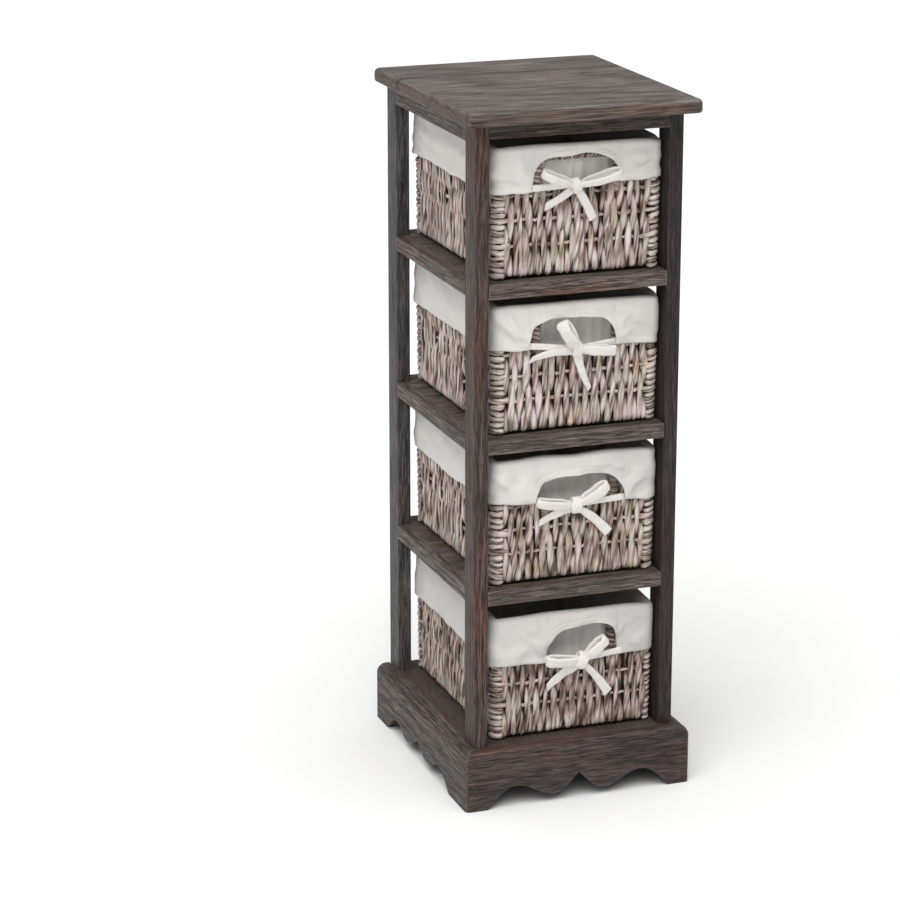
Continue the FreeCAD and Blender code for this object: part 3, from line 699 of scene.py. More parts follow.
        # husk-wrapped wires across
        for q, zl in enumerate(lv):
            reach = span + 4.5
            runs = [(-reach, reach)]
            if wall == "front" and (q == 3 or q == 2 and basket > 1):
                runs = [(-reach, -HOLE_CUT), (HOLE_CUT, reach)]
            for lo, hi in runs:
                a = np.arange(lo, hi + 0.1, 1.35)
                wob = smooth_field(6000 + 40 * basket + 10 * wi + q, 6, 0.02, 0.13)
                cell = (a - begin) / pitch
                over = np.cos(np.pi * (cell + q + phase_row))
                c = on_wall(wall, a, zl + 0.8 * wob(a, 0.0), 3.55 + 0.40 * over + 0.35 * wob(a, 60.0))
                trim.add(c, UP, nrm, 1.95 - 0.20 * over + 0.35 * wob(a, 30.0), 1.50, np.clip(wash + 0.12 + 0.13 * pale(a, zl) + 0.10 * wob(a, 200.0), 0, 1),
                         np.clip(patch(a, zl) * 0.5 - 0.25, 0, 1), np.clip(0.88 + 0.28 * wob(a, 90.0), 0.35, 1.0), n=8, lobes=2, amp=0.17, twist=7.5, caps=0.8)
    # corner columns: core painted near black as the shade between the loops, then stacked loops
    for sx, sy in ((-1, -1), (1, -1), (1, 1), (-1, 1)):
        z = np.linspace(6.0, 148.0, 12)
        c = np.stack([sx * (hx(z) - CORNER_R + 4.6), sy * (hy(z) - CORNER_R + 4.6), z], -1)
        out = np.array([sx, sy, 0.0]) * math.sqrt(0.5)
        trim.add(c, np.cross(out, UP), out, 5.8, 3.0, 0.0, 0.0, 0.0, n=10, lobes=1, amp=0.0, caps=1.0)
        # another core painted near black as shade, inside the front right corner
        if (sx, sy) == (1, -1):
            z = np.linspace(5.0, LINERS[basket - 1]["hem"][1] + 6.0, 9)
            dep = 1.4 if basket in (1, 3) else 2.0
            c = np.stack([hx(z) - CORNER_R + (CORNER_R - dep) * math.cos(0.3), -(hy(z) - CORNER_R + (CORNER_R - dep) * math.sin(0.3)), z], -1)
            trim.add(c, (0.296, 0.955, 0.0), (0.955, -0.296, 0.0), 4.2, 3.0, 0.0, 0.0, 0.0, n=10, lobes=1, amp=0.0, caps=1.0)
    for ci, (sx, sy) in enumerate(((-1, -1), (1, -1), (1, 1), (-1, 1))):
        pale = smooth_field(70 * basket + ci, 4, 0.01, 0.03)
        near = (wires["front" if sy < 0 else "back"], wires["left" if sx < 0 else "right"])
        hem = LINERS[basket - 1]["hem"][0 if sx < 0 else 1] if sy < 0 else 102.0
        proud = 1.45 if (sx, sy) != (1, -1) else (0.3 if basket in (1, 3) else 0.9)
        z0 = 0.9
        while z0 < 149.0:
            rise = float(np.clip(r.normal(7.7, 0.85), 6.0, 9.4))
            z1 = z0 + rise * 0.5
            tilt = r.normal(0.0, 0.8) + 0.9 * sx
            # beside a wire the loop runs out along it
            ext0 = 7.0 if min(abs(near[0] - z1)) < 3.6 and z1 < 101 else r.uniform(-0.6, 0.9)
            ext1 = 7.0 if min(abs(near[1] - z1)) < 3.6 else r.uniform(-0.6, 0.9)
            dep = (proud if z1 + rise * 0.5 < hem - 1.5 else 3.0) + r.normal(0, 0.20)
            rc = CORNER_R - dep
            if basket == 4 and (sx, sy) == (1, -1):  # starts round the corner
                ang = np.linspace(0.62, math.pi / 2 - 0.10, 7)
                lead = ((rc - 3.2, 0.34), (rc - 1.6, 0.44), (rc - 0.5, 0.53))
                lead_x, lead_y = [q * math.sin(w) for q, w in lead], [q * math.cos(w) for q, w in lead]
            else:
                ang = np.linspace(0.10, math.pi / 2 - 0.10, 9)
                lead_x, lead_y = [-ext0 - 1.2, -ext0 + 0.1, (-ext0 + 1.2) * 0.45], [rc - 3.4, rc - 0.8, rc - 0.05]
            px = np.concatenate([lead_x, rc * np.sin(ang), [rc - 0.05, rc - 0.8, rc - 3.4]])
            py = np.concatenate([lead_y, rc * np.cos(ang), [(-ext1 + 1.2) * 0.45, -ext1 + 0.1, -ext1 - 1.2]])
            frac = np.linspace(-0.5, 0.5, len(px))
            zz = np.maximum(z1 + tilt * frac * 2 + r.normal(0, 0.25) * np.sin(frac * 9.0), 3.9)
            cx, cy = hx(zz) - CORNER_R, hy(zz) - CORNER_R
            c = np.stack([sx * (cx + px), sy * (cy + py), zz], -1)
            tang = np.gradient(c, axis=0)
            tang /= np.linalg.norm(tang, axis=1)[:, None]
            t = np.cross(tang, UP)
            t /= np.linalg.norm(t, axis=1)[:, None]
            mid = np.array([sx, sy, 0.0])
            if t[len(t) // 2] @ mid < 0:
                t = -t
            body = 1.0 - 0.16 * np.abs(frac * 2) ** 4
            wob = 1 + 0.07 * np.sin(np.arange(len(px)) * 0.9 + r.uniform(0, TAU))
            tone = np.clip(wash + 0.13 + 0.1 * pale(z0, 0.0) + r.normal(0, 0.09), 0.03, 0.98)
            hue = np.clip(r.normal(-0.05, 0.18) + 0.18 * pale(z0, 40.0), 0, 0.8)
            # painted shade: each loop darker towards its tucked-in ends
            shade = np.clip(1.05 - 0.75 * np.abs(frac * 2) ** 4, 0, 1)
            spin = dict(twist=float(r.uniform(14, 26)), phase=float(r.uniform(0, TAU)))
            if z1 + rise * 0.5 < 152.0:  # the rim closes over the last one
                trim.add(c, UP, t, (rise * 0.5 - 0.38) * body * wob, 2.6 * body, tone, hue, shade, n=12, lobes=3, amp=0.08, caps=1.2, **spin)
            z0 += rise
    # rim: coil round the top wire
    ring = []
    for z in (150.5,):
        cx, cy, rr = hx(z) - CORNER_R, hy(z) - CORNER_R, CORNER_R - 4.0
        for (kx, ky, a0) in ((1, -1, -math.pi / 2), (1, 1, 0.0), (-1, 1, math.pi / 2), (-1, -1, math.pi)):
            for a in np.linspace(a0, a0 + math.pi / 2, 9):
                ring.append((kx * cx + rr * math.cos(a), ky * cy + rr * math.sin(a)))
    ring = np.array(ring + ring[:1])
    seg = np.linalg.norm(np.diff(ring, axis=0), axis=1)
    s = np.concatenate([[0], np.cumsum(seg)])
    total = s[-1]
    per = 12
    turns = int(total / 6.6)
    q = np.linspace(0, total, turns * per + 1)
    px, py = np.interp(q, s, ring[:, 0]), np.interp(q, s, ring[:, 1])
    tx, ty = np.gradient(px), np.gradient(py)
    ln = np.hypot(tx, ty)
    nx, ny = ty / ln, -tx / ln
    phi = TAU * np.arange(len(q)) / per
    rn = 2.35
    bend = np.clip((np.hypot(np.maximum(np.abs(px) - hx(150.5) + 26.0, 0), np.maximum(np.abs(py) - hy(150.5) + 26.0, 0)) - 18.0) / 8.0, 0, 1)
    rz = 3.6 - 1.7 * bend
    c = np.stack([px + nx * rn * np.cos(phi), py + ny * rn * np.cos(phi), 150.5 + rz * np.sin(phi)], -1)
    t = np.stack([nx * np.cos(phi), ny * np.cos(phi), np.sin(phi)], -1)
    w = np.stack([tx / ln, ty / ln, 0 * tx], -1)
    trim.add(c, w, t, 3.0, 1.5, np.clip(wash + r.normal(0, 0.03, len(q)), 0, 1), 0.15, 0.55, n=8, lobes=2, amp=0.08, twist=30.0, caps=1.0)
    # grip hole: wrapped edge up one side, over the top and down the other
    hw_, lo_, hi_, rr = 51.0, 99.0, 143.6, 16.0
    hole = [(hw_, lo_)]
    for (kx, a0) in ((1, 0.0), (-1, math.pi / 2)):
        for a in np.linspace(a0, a0 + math.pi / 2, 9):
            hole.append((kx * (hw_ - rr) + rr * math.cos(a), hi_ - rr + rr * math.sin(a)))
    hole = np.array(hole + [(-hw_, lo_)])
    seg = np.linalg.norm(np.diff(hole, axis=0), axis=1)
    s = np.concatenate([[0], np.cumsum(seg)])
    total = s[-1]
    turns = int(total / 6.3)
    per = 16
    q = np.linspace(0, total, turns * per + 1)
    ha, hz = np.interp(q, s, hole[:, 0]), np.interp(q, s, hole[:, 1])
    ta, tz = np.gradient(ha), np.gradient(hz)
    ln = np.hypot(ta, tz)
    na, nz = tz / ln, -ta / ln
    phi = TAU * np.arange(len(q)) / per
    flat = np.abs(na) ** 2
    rin = 3.0 + 2.2 * flat
    rn = 2.3
    ca, cz, cd = ha + na * rin * np.cos(phi), hz + nz * rin * np.cos(phi), 4.1 - rn * np.sin(phi)
    c = on_wall("front", ca, cz, cd)
    lat, nrm = AXES["front"]
    t = (na * np.cos(phi) / rin)[:, None] * lat + (nz * np.cos(phi) / rin)[:, None] * UP + (np.sin(phi) / rn)[:, None] * nrm
    t /= np.linalg.norm(t, axis=1)[:, None]
    w = (ta / ln)[:, None] * lat + (tz / ln)[:, None] * UP
    # painted shade on the hole's wrapped edge, deeper on the lower baskets
    trim.add(c, w, t, 2.9, 1.55, np.clip(wash - 0.10 + 0.06 * np.sin(q / 11.0), 0, 1), 0.12, (0.75, 0.45, 0.40, 0.35)[basket - 1], n=10, lobes=2, amp=0.10, twist=22.0, caps=1.0)
    # bottom: mat of flat strands over cross wires
    count = 22
    for i in range(count):
        x0 = -86.0 + 172.0 * i / (count - 1) + r.normal(0, 0.3)
        y = np.linspace(-126.0, 126.0, 46)
        z = 4.4 + 0.9 * np.cos(np.pi * (y / 28.0 + i))
        c = np.stack([np.full_like(y, x0), y, z], -1)
        trim.add(c, (1, 0, 0), (0, 0, -1), 3.75, 2.6, np.clip(wash - 0.1 + r.normal(0, 0.08), 0, 1), 0.25, 0.55, n=8, lobes=2, amp=0.1, twist=30.0, caps=1.5)
    for j in range(10):
        y0 = -126.0 + 28.0 * j
        x = np.linspace(-92.0, 92.0, 50)
        z = 4.4 - 0.5 * np.cos(np.pi * ((x + 84.0) / 8.0 + j))
        c = np.stack([x, np.full_like(x, y0), z], -1)
        trim.add(c, (0, 1, 0), (0, 0, -1), 1.9, 1.2, np.clip(wash, 0, 1), 0.2, 0.4, n=6, lobes=2, amp=0.1, twist=9.0, caps=0.8)
    return walls, trim


# ---------------------------------------------------------------------------
# cloth
# ---------------------------------------------------------------------------
def columns(left, right):
    """Places round the basket, clockwise from the front left corner's end: (part, position)."""
    cols = []
    fx = hx(130.0) - CORNER_R
    xs = list(np.arange(-fx, fx, 2.6))
    fine = []
    for e in (left, right):
        fine += [e + q for q in (-2.0, -1.2, -0.6, -0.2, 0.0, 0.2, 0.5, 1.0, 1.6, 2.4, 3.4, 4.6) ] if e < 0 else [e - q for q in (-2.0, -1.2, -0.6, -0.2, 0.0, 0.2, 0.5, 1.0, 1.6, 2.4, 3.4, 4.6)]
    xs = [x for x in xs if min(abs(x - q) for q in fine) > 0.9] + fine
    for x in sorted(xs):
        cols.append(("front", x / fx))
    cols += [("c1", t) for t in np.linspace(0, 1, 10, endpoint=False)]
    fy = hy(130.0) - CORNER_R
    cols += [("right", t) for t in np.linspace(-1, 1, 92, endpoint=False)]
    cols += [("c2", t) for t in np.linspace(0, 1, 10, endpoint=False)]
    cols += [("back", t) for t in np.linspace(1, -1, 66, endpoint=False)]
    cols += [("c3", t) for t in np.linspace(0, 1, 10, endpoint=False)]
    cols += [("left", t) for t in np.linspace(1, -1, 92, endpoint=False)]
    cols += [("c4", t) for t in np.linspace(0, 1, 10, endpoint=False)]
    return cols


def plan(col, z, off):
    """Point of the basket's outline at height z, moved out by off, and the outward normal."""
    part, t = col
    X, Y = hx(z) - CORNER_R, hy(z) - CORNER_R
    if part == "front":
        return np.stack([t * X + 0 * off, -(hy(z) + off)], -1), (0.0, -1.0)
    if part == "right":
        return np.stack([hx(z) + off, t * Y + 0 * off], -1), (1.0, 0.0)
    if part == "back":
        return np.stack([t * X + 0 * off, hy(z) + off], -1), (0.0, 1.0)
    if part == "left":
        return np.stack([-(hx(z) + off), t * Y + 0 * off], -1), (-1.0, 0.0)
    sx, sy, a0 = {"c1": (1, -1, -math.pi / 2), "c2": (1, 1, 0.0), "c3": (-1, 1, math.pi / 2), "c4": (-1, -1, math.pi)}[part]
    a = a0 + t * math.pi / 2
    ca, sa = math.cos(a), math.sin(a)
    rr = CORNER_R + off
    return np.stack([sx * X + rr * ca, sy * Y + rr * sa], -1), (ca, sa)


# each basket: cuff's cut-out left, right and top, lower edge at the left and right
# corner of the front, knot, loop tips, tail ends
LINERS = (
    dict(left=-59.8, right=53.6, top=146.7, slope=5.1, hem=(103.0, 112.0), bend=(5.0, 2.1), sag=-2.0),
    dict(left=-63.4, right=47.9, top=139.5, slope=0.6, hem=(105.0, 100.0), bend=(4.3, 4.3), sag=8.0),
    dict(left=-52.9, right=62.9, top=133.7, slope=-2.7, hem=(104.0, 93.0), bend=(3.1, 3.4), sag=12.0),
    dict(left=-36.8, right=57.5, top=137.7, slope=1.6, hem=(97.0, 95.0), bend=(4.7, 6.2), sag=10.0),
)


def front_hem(x, p):
    """Height of the cuff's lower edge across the front, with its arched cut-out."""
    fx = hx(130.0) - CORNER_R
    base = p["hem"][0] + (p["hem"][1] - p["hem"][0]) * (x + fx) / (2 * fx)
    mid, half = (p["left"] + p["right"]) / 2, (p["right"] - p["left"]) / 2
    xi = np.clip(np.abs(x - mid) / half, 0, 1)
    top = p["top"] + p["slope"] * (x - mid) / half
    arch = base + (top - base) * (1 - xi ** np.where(x < mid, *p["bend"])) ** (1 / 2.2)
    return np.where(np.abs(x - mid) < half, arch, base)


def liner(basket, p):
    r = np.random.default_rng(7000 + basket)
    cols = columns(p["left"], p["right"])
    wave = smooth_field(300 + basket, 7, 0.006, 0.022)
    ripple = smooth_field(330 + basket, 9, 0.014, 0.05)
    rimw = smooth_field(360 + basket, 5, 0.004, 0.016)
    inner = smooth_field(390 + basket, 7, 0.006, 0.022)
    pleat = smooth_field(420 + basket, 6, 0.012, 0.040)
    roll = smooth_field(450 + basket, 8, 0.016, 0.038)
    # running distance round the basket
    mid = np.array([plan(c, np.array(130.0), np.array(0.0))[0] for c in cols])
    run = np.concatenate([[0], np.cumsum(np.linalg.norm(np.diff(mid, axis=0), axis=1))])
    total = run[-1] + np.linalg.norm(mid[0] - mid[-1])
    corner_at = [run[[c[0] for c in cols].index(q) + 5] for q in ("c1", "c2", "c3", "c4")]

    def closed(field):
        """The field, eased into its own start over the last stretch round the basket."""

        def f(s, z):
            w = np.clip((s - total + 110.0) / 110.0, 0.0, 1.0)
            w = w * w * (3 - 2 * w)
            return field(s, z) * (1 - w) + field(s - total, z) * w

        return f

    wave, ripple, rimw, inner, pleat, roll = (closed(q) for q in (wave, ripple, rimw, inner, pleat, roll))
    # soft folds: ridges along short lines, most of them fanning from the cut-out's ends
    folds = []
    half = hx(130.0) - CORNER_R
    for side, x0 in ((-1, p["left"]), (1, p["right"])):
        for _ in range(3):
            a = r.uniform(-0.15, 1.15)
            folds.append((half + x0 + side * r.uniform(1, 6), r.uniform(106, 124), side * math.cos(a), math.sin(a), r.uniform(26, 60), r.uniform(2.6, 4.6), r.uniform(0.5, 1.3) * r.choice([1, -1], p=[0.7, 0.3])))
    for _ in range(16):
        a = r.uniform(-0.5, 0.5) + r.choice([0.0, math.pi / 2], p=[0.65, 0.35])
        folds.append((r.uniform(0, total), r.uniform(104, 150), math.cos(a), math.sin(a), r.uniform(24, 64), r.uniform(3.0, 6.0), r.uniform(0.35, 1.0) * r.choice([1, -1])))

    def folded(s, z):
        h = 0.0
        for (s0, z0, dx, dz, length, width, amp) in folds:
            ds = (s - s0 + total / 2) % total - total / 2
            u = ds * dx + (z - z0) * dz
            v = -ds * dz + (z - z0) * dx + 0.012 * u * u * np.sign(amp)
            h = h + amp * np.exp(-(v / width) ** 2) * np.exp(-((u - length * 0.4) / (length * 0.5)) ** 4)
        return h

    rows_out, rows_rim, rows_in, rows_floor = 24, 9, 30, 9
    P = np.zeros((len(cols), rows_out + rows_rim + rows_in + rows_floor, 3))
    UVS = np.zeros((len(cols), P.shape[1], 2))
    for ci, col in enumerate(cols):
        s = run[ci]
        part, t = col
        fx = hx(130.0) - CORNER_R
        if part == "front":
            hem = float(front_hem(np.array(t * fx), p))
        else:
            # lower edge round the sides and back, joined to the front's ends
            f = (s - 2 * fx) / (total - 2 * fx)
            hem = p["hem"][1] + (p["hem"][0] - p["hem"][1]) * f
            hem += (102.5 - hem) * min(1.0, 5 * f, 5 * (1 - f))
        # the cuff lies smoother round the sides and back than across the front
        calm = 0.35 + 0.65 * math.exp(-(max(0.0, min(s - 2 * fx, total - s)) / 30.0) ** 2)
        hem += 1.3 * calm * float(wave(s, 0.0))
        droop, taut = 0.0, 0.0
        for cs, low in zip(corner_at, (1.0, 1.0, 1.0, 0.3)):
            ds = abs((s - cs + total / 2) % total - total / 2)
            droop = max(droop, low * math.exp(-(ds / 13.0) ** 2))
            taut = max(taut, math.exp(-(ds / 24.0) ** 4))
        rim = 158.4 + 0.9 * float(rimw(s, 0.0)) * (1 - droop) - 3.4 * droop
        ztop = 152.5 - 2.4 * droop
        zo = hem + (ztop - hem) * np.linspace(0, 1, rows_out)
        up = np.clip((zo - 100.0) / 52.0, 0, 1)
        dist = zo - hem
        if part == "front":  # nearest way to the edge of the arched cut-out
            ax = np.linspace(p["left"], p["right"], 160)
            az = front_hem(ax, p)
            dist = np.minimum(dist, np.sqrt((t * fx - ax[None, :]) ** 2 + (zo[:, None] - az[None, :]) ** 2).min(1))
        off = 2.3 + 0.85 * np.sin(np.pi * up) - 0.8 * up ** 3 + (2.1 * wave(s, zo) + 2.8 * roll(s, 1.5 * zo) + 0.4 * ripple(s, zo) + 3.6 * folded(s, zo)) * np.clip(1.45 - up, 0.4, 1) * calm
        off += 0.9 * np.exp(-dist / 14.0) * (0.6 + 0.4 * float(wave(s + 90.0, 30.0)))
        off += 0.85 / (1 + np.exp((dist - 6.6) / 0.45)) - 0.50 * np.exp(-((dist - 7.4) / 1.0) ** 2)
        off = 0.75 + np.log1p(np.exp((off - 0.75) * 2.0)) / 2.0
        off = 6.4 - np.log1p(np.exp((6.4 - off) * 1.6)) / 1.6
        tight = min(max((mid[ci, 0] - 78.0) / 24.0, 0.0), 1.0)  # little room beside the right post
        tight = tight * tight * (3 - 2 * tight)
        snug = np.maximum(2.35 - np.log1p(np.exp((2.35 - off) * 2.2)) / 2.2, 0.75)
        off = off * (1 - tight) + snug * tight
        phi = np.linspace(0, math.pi, rows_rim + 2)[1:-1]
        x_in = -9.45
        o_top = off[-1]
        cen, rad = (o_top + x_in) / 2, (o_top - x_in) / 2
        zr = ztop + (rim - ztop) * np.sin(phi) ** 0.85
        orr = cen + rad * np.cos(phi)
        zi = ztop + (12.5 - ztop) * np.linspace(0, 1, rows_in)
        belly = np.sin(np.pi * np.clip((152.5 - zi) / 140.0, 0, 1)) * (1 - taut)
        oi = x_in - belly * (2.4 + 1.5 * inner(s, zi) + 1.9 * pleat(s, 0.12 * zi)) - 0.25 * np.abs(ripple(s, zi)) * (1 - taut)
        if part == "front":
            xx = t * fx
            oi -= p["sag"] * math.exp(-(xx / 42.0) ** 4) * np.exp(-((zi - 122.0) / 26.0) ** 4)
            lap = 0.5 + 0.5 * math.sin(TAU * (xx + 3.0 * math.sin(xx / 9.0 + basket)) / 15.0 + 1.3 * basket)
            oi -= 2.6 * lap * math.exp(-(xx / 58.0) ** 6) * np.exp(-((zi - 116.0) / 27.0) ** 4)
        oi = np.minimum(oi, x_in + 0.2 + max(-p["sag"], 0.0) * (part == "front"))
        z = np.concatenate([zo, zr, zi])
        o = np.concatenate([off, orr, oi])
        xy, _ = plan(col, z, o)
        P[ci, : len(z), :2] = xy
        P[ci, : len(z), 2] = z
        shrink = np.array([0.985, 0.955, 0.90, 0.80, 0.66, 0.50, 0.34, 0.18, 0.05])
        edge = xy[-1]
        fl = edge[None, :] * shrink[:, None]
        P[ci, len(z):, :2] = fl
        P[ci, len(z):, 2] = 10.4 + 1.2 * (shrink > 0.97) + 0.5 * inner(fl[:, 0] + 300, fl[:, 1]) * (shrink < 0.96) * shrink
        step = np.concatenate([[0], np.cumsum(np.linalg.norm(np.diff(P[ci], axis=0), axis=1))])
        UVS[ci, :, 0] = s
        UVS[ci, :, 1] = step
    return cols, run, P, UVS


def grid_mesh(name, P, UVS, at, mat, wrap):
    k, m = P.shape[:2]
    verts = (P.reshape(-1, 3) + np.asarray(at)) * MM
    idx = np.arange(k * m).reshape(k, m)
    nxt = np.roll(idx, -1, 0) if wrap else idx[1:]
    cur = idx if wrap else idx[:-1]
    faces = np.stack([cur[:, :-1], nxt[:, :-1], nxt[:, 1:], cur[:, 1:]], -1)
    un = np.roll(UVS, -1, 0).copy()
    if wrap:
        un[-1, :, 0] = UVS[-1, :, 0] + (UVS[-1, :, 0] - UVS[-2, :, 0])
    uv = np.stack([UVS[:, :-1], un[:, :-1], un[:, 1:], UVS[:, 1:]], 2)
    if not wrap:
        uv = uv[:-1]
    fl = faces.reshape(-1, 4).tolist()
    uvl = [uv.reshape(-1, 2) * MM]
    if wrap:  # last ring closed with one small face at the middle of the floor
        fl.append([int(q) for q in idx[:, -1]])
        uvl.append(UVS[:, -1] * MM)
    me = bpy.data.meshes.new(name)
    me.from_pydata(verts.tolist(), [], fl)
    layer = me.uv_layers.new(name="cloth")
    layer.data.foreach_set("uv", np.vstack(uvl).astype(np.float32).ravel())
    me.polygons.foreach_set("use_smooth", np.ones(len(me.polygons), bool))
    me.materials.append(mat)
    me.update()
    ob = bpy.data.objects.new(name, me)
    scene.collection.objects.link(ob)
    return ob


def spline(points, n):
    """Smooth line through the points, n samples, with any number of columns."""
    p = np.asarray(points, float)
    k = len(p)
    q = np.vstack([2 * p[0] - p[1], p, 2 * p[-1] - p[-2]])
    t = np.linspace(0, k - 1 - 1e-9, n)
    i = t.astype(int)
    f = (t - i)[:, None]
    a, b, c, d = q[i], q[i + 1], q[i + 2], q[i + 3]
    return 0.5 * (2 * b + (c - a) * f + (2 * a - 5 * b + 4 * c - d) * f ** 2 + (3 * b - a - 3 * c + d) * f ** 3)


class Ribbons:
    """Flat sewn tape in the space (across the front, out from the wall, up)."""

    def __init__(self):
        self.v, self.f, self.uv = [], [], []
        self.count = 0
        self.area = 0.0

    def add(self, c, w, width, thick, closed=False, cut=0.0, n=14, seed=0):
        c = np.asarray(c, float)
        k = len(c)
        width = np.broadcast_to(np.asarray(width, float), (k,)).copy()
        thick = np.broadcast_to(np.asarray(thick, float), (k,)).copy()
        tang = np.gradient(c, axis=0) if not closed else np.roll(c, -1, 0) - np.roll(c, 1, 0)
        tang /= np.linalg.norm(tang, axis=1)[:, None]
        w = np.broadcast_to(np.asarray(w, float), (k, 3)).copy()
        w = w - (w * tang).sum(1)[:, None] * tang
        w /= np.linalg.norm(w, axis=1)[:, None]
        t = np.cross(tang, w)
        th = np.arange(n) / n * TAU
        ct = np.sign(np.cos(th)) * np.abs(np.cos(th)) ** 0.72
        st = np.sign(np.sin(th)) * np.abs(np.sin(th)) ** 0.95
        # rolled edges a little thicker than the middle
        edge = 1.0 + 0.22 * np.exp(-((np.abs(ct) - 0.80) / 0.16) ** 2)
        run = np.concatenate([[0], np.cumsum(np.linalg.norm(np.diff(c, axis=0), axis=1))])
        crumple = smooth_field(8000 + seed, 7, 0.03, 0.12) if not closed else (lambda a, b: 0.0 * a)
        soft = 0.38 * crumple(run[:, None] + 0 * ct[None, :], 3.0 * ct[None, :] + 0 * run[:, None])
        pts = c[:, None, :] + w[:, None, :] * (width[:, None] / 2 * ct)[..., None] + t[:, None, :] * (thick[:, None] / 2 * st * edge + soft)[..., None]
        if cut:
            pts[-1] += tang[-1] * (ct * cut)[:, None]
            pts[-2] += tang[-1] * (ct * cut * 0.6)[:, None]
        idx = np.arange(k * n).reshape(k, n) + self.count
        cur, nxt = (idx, np.roll(idx, -1, 0)) if closed else (idx[:-1], idx[1:])
        quad = np.stack([cur, np.roll(cur, -1, 1), np.roll(nxt, -1, 1), nxt], -1).reshape(-1, 4)
        s = np.concatenate([[0], np.cumsum(np.linalg.norm(np.diff(c, axis=0), axis=1))])
        self.area += float((np.gradient(s) * width).sum())
        faces = quad.tolist()
        if not closed:
            faces += [idx[0][::-1].tolist(), idx[-1].tolist()]
        self.f += faces
        self.v.append(pts.reshape(-1, 3))
        self.uv.append(np.stack([np.repeat((ct * 5.5)[None, :], k, 0), np.repeat(s[:, None], n, 1)], -1).reshape(-1, 2) + 40.0 * seed)
        self.count += k * n

    def build(self, name, at, mat):
        v = np.vstack(self.v)
        uv = np.vstack(self.uv)
        xyz = np.stack([v[:, 0], -(hy(v[:, 2]) + v[:, 1]), v[:, 2]], -1)
        me = bpy.data.meshes.new(name)
        me.from_pydata(((xyz + np.asarray(at)) * MM).tolist(), [], self.f)
        layer = me.uv_layers.new(name="cloth")
        loops = np.zeros(len(me.loops), np.int32)
        me.loops.foreach_get("vertex_index", loops)
        layer.data.foreach_set("uv", (uv[loops] * MM).astype(np.float32).ravel())
        me.polygons.foreach_set("use_smooth", np.ones(len(me.polygons), bool))
        me.materials.append(mat)
        me.update()
        import bmesh
        bm = bmesh.new()
        bm.from_mesh(me)
        bmesh.ops.recalc_face_normals(bm, faces=bm.faces)
        bm.to_mesh(me)
        bm.free()
        ob = bpy.data.objects.new(name, me)
        scene.collection.objects.link(ob)
        return ob


def tape_loop(rb, knot, tip, tilt, belly, width, lean=0.0, base=6.5, seed=0):
    """One loop of the bow from the knot to its tip and back. tilt is how far its
    opening is turned from the viewer, belly how far its two legs stand apart."""
    kx, kz = knot
    e = np.array([tip[0] - kx, 0.0, tip[1] - kz])
    length = np.linalg.norm(e)
    e /= length
    n = np.array([-e[2], 0.0, e[0]])
    out = np.array([0.0, 1.0, 0.0])
    a = math.cos(tilt) * out + math.sin(tilt) * n
    b = np.cross(e, a)
    prof = [(0.02, 0.0), (0.15, 0.17), (0.34, 0.36), (0.58, 0.48), (0.80, 0.50), (0.94, 0.36), (1.0, 0.06), (0.96, -0.28), (0.82, -0.48), (0.60, -0.50), (0.35, -0.38), (0.15, -0.17), (0.02, 0.0)]
    pts = [np.array([kx, base, kz]) + e * (x * length) + b * (y * belly) + out * (lean * x) for x, y in prof]
    c = spline(pts, 64)
    f = np.linspace(0, 1, 64)
    near = np.clip(np.minimum(f, 1 - f) / 0.20, 0, 1)
    near = near * near * (3 - 2 * near)
    w = width * (0.58 + 0.42 * near) * (1 + 0.05 * np.sin(f * 23.0 + seed) + 0.03 * np.sin(f * 51.0 + 2 * seed))
    th = 4.2 - 0.7 * near
    low = (c[:, 1] - np.abs(a[1]) * w / 2 - 1.4).min()
    if low < 2.6:
        c[:, 1] += (2.6 - low) * np.clip(np.linalg.norm(c[:, [0, 2]] - np.array([kx, kz]), axis=1) / (0.4 * length), 0, 1)
    rb.add(c, a, w, th, seed=seed)


def tape_tail(rb, knot, end, bend, width, cut, start_out=6.0, end_out=3.0, flare=1.0, neck=0.66, seed=0):
    kx, kz = knot
    e = np.array([end[0] - kx, end[1] - kz])
    length = np.hypot(*e)
    e /= length
    n = np.array([-e[1], e[0]])
    pts = []
    for f, o in ((0.0, start_out), (0.22, start_out - 0.4), (0.5, (start_out + end_out) / 2), (0.78, end_out + 0.2), (1.0, end_out)):
        off = bend * math.sin(math.pi * f)
        pts.append((kx + e[0] * f * length + n[0] * off, o, kz + e[1] * f * length + n[1] * off))
    c = spline(pts, 34)
    f = np.linspace(0, 1, 34)
    grow = np.clip(f / 0.30, 0, 1)
    w = width * (neck + (1 - neck) * grow * grow * (3 - 2 * grow)) * (1 + (flare - 1) * f) * (1 + 0.04 * np.sin(f * 17.0 + seed))
    rb.add(c, (n[0], 0.10 * math.copysign(1, n[1]), n[1]), w, 4.0 - 0.6 * grow - 0.4 * f, cut=cut, seed=seed)


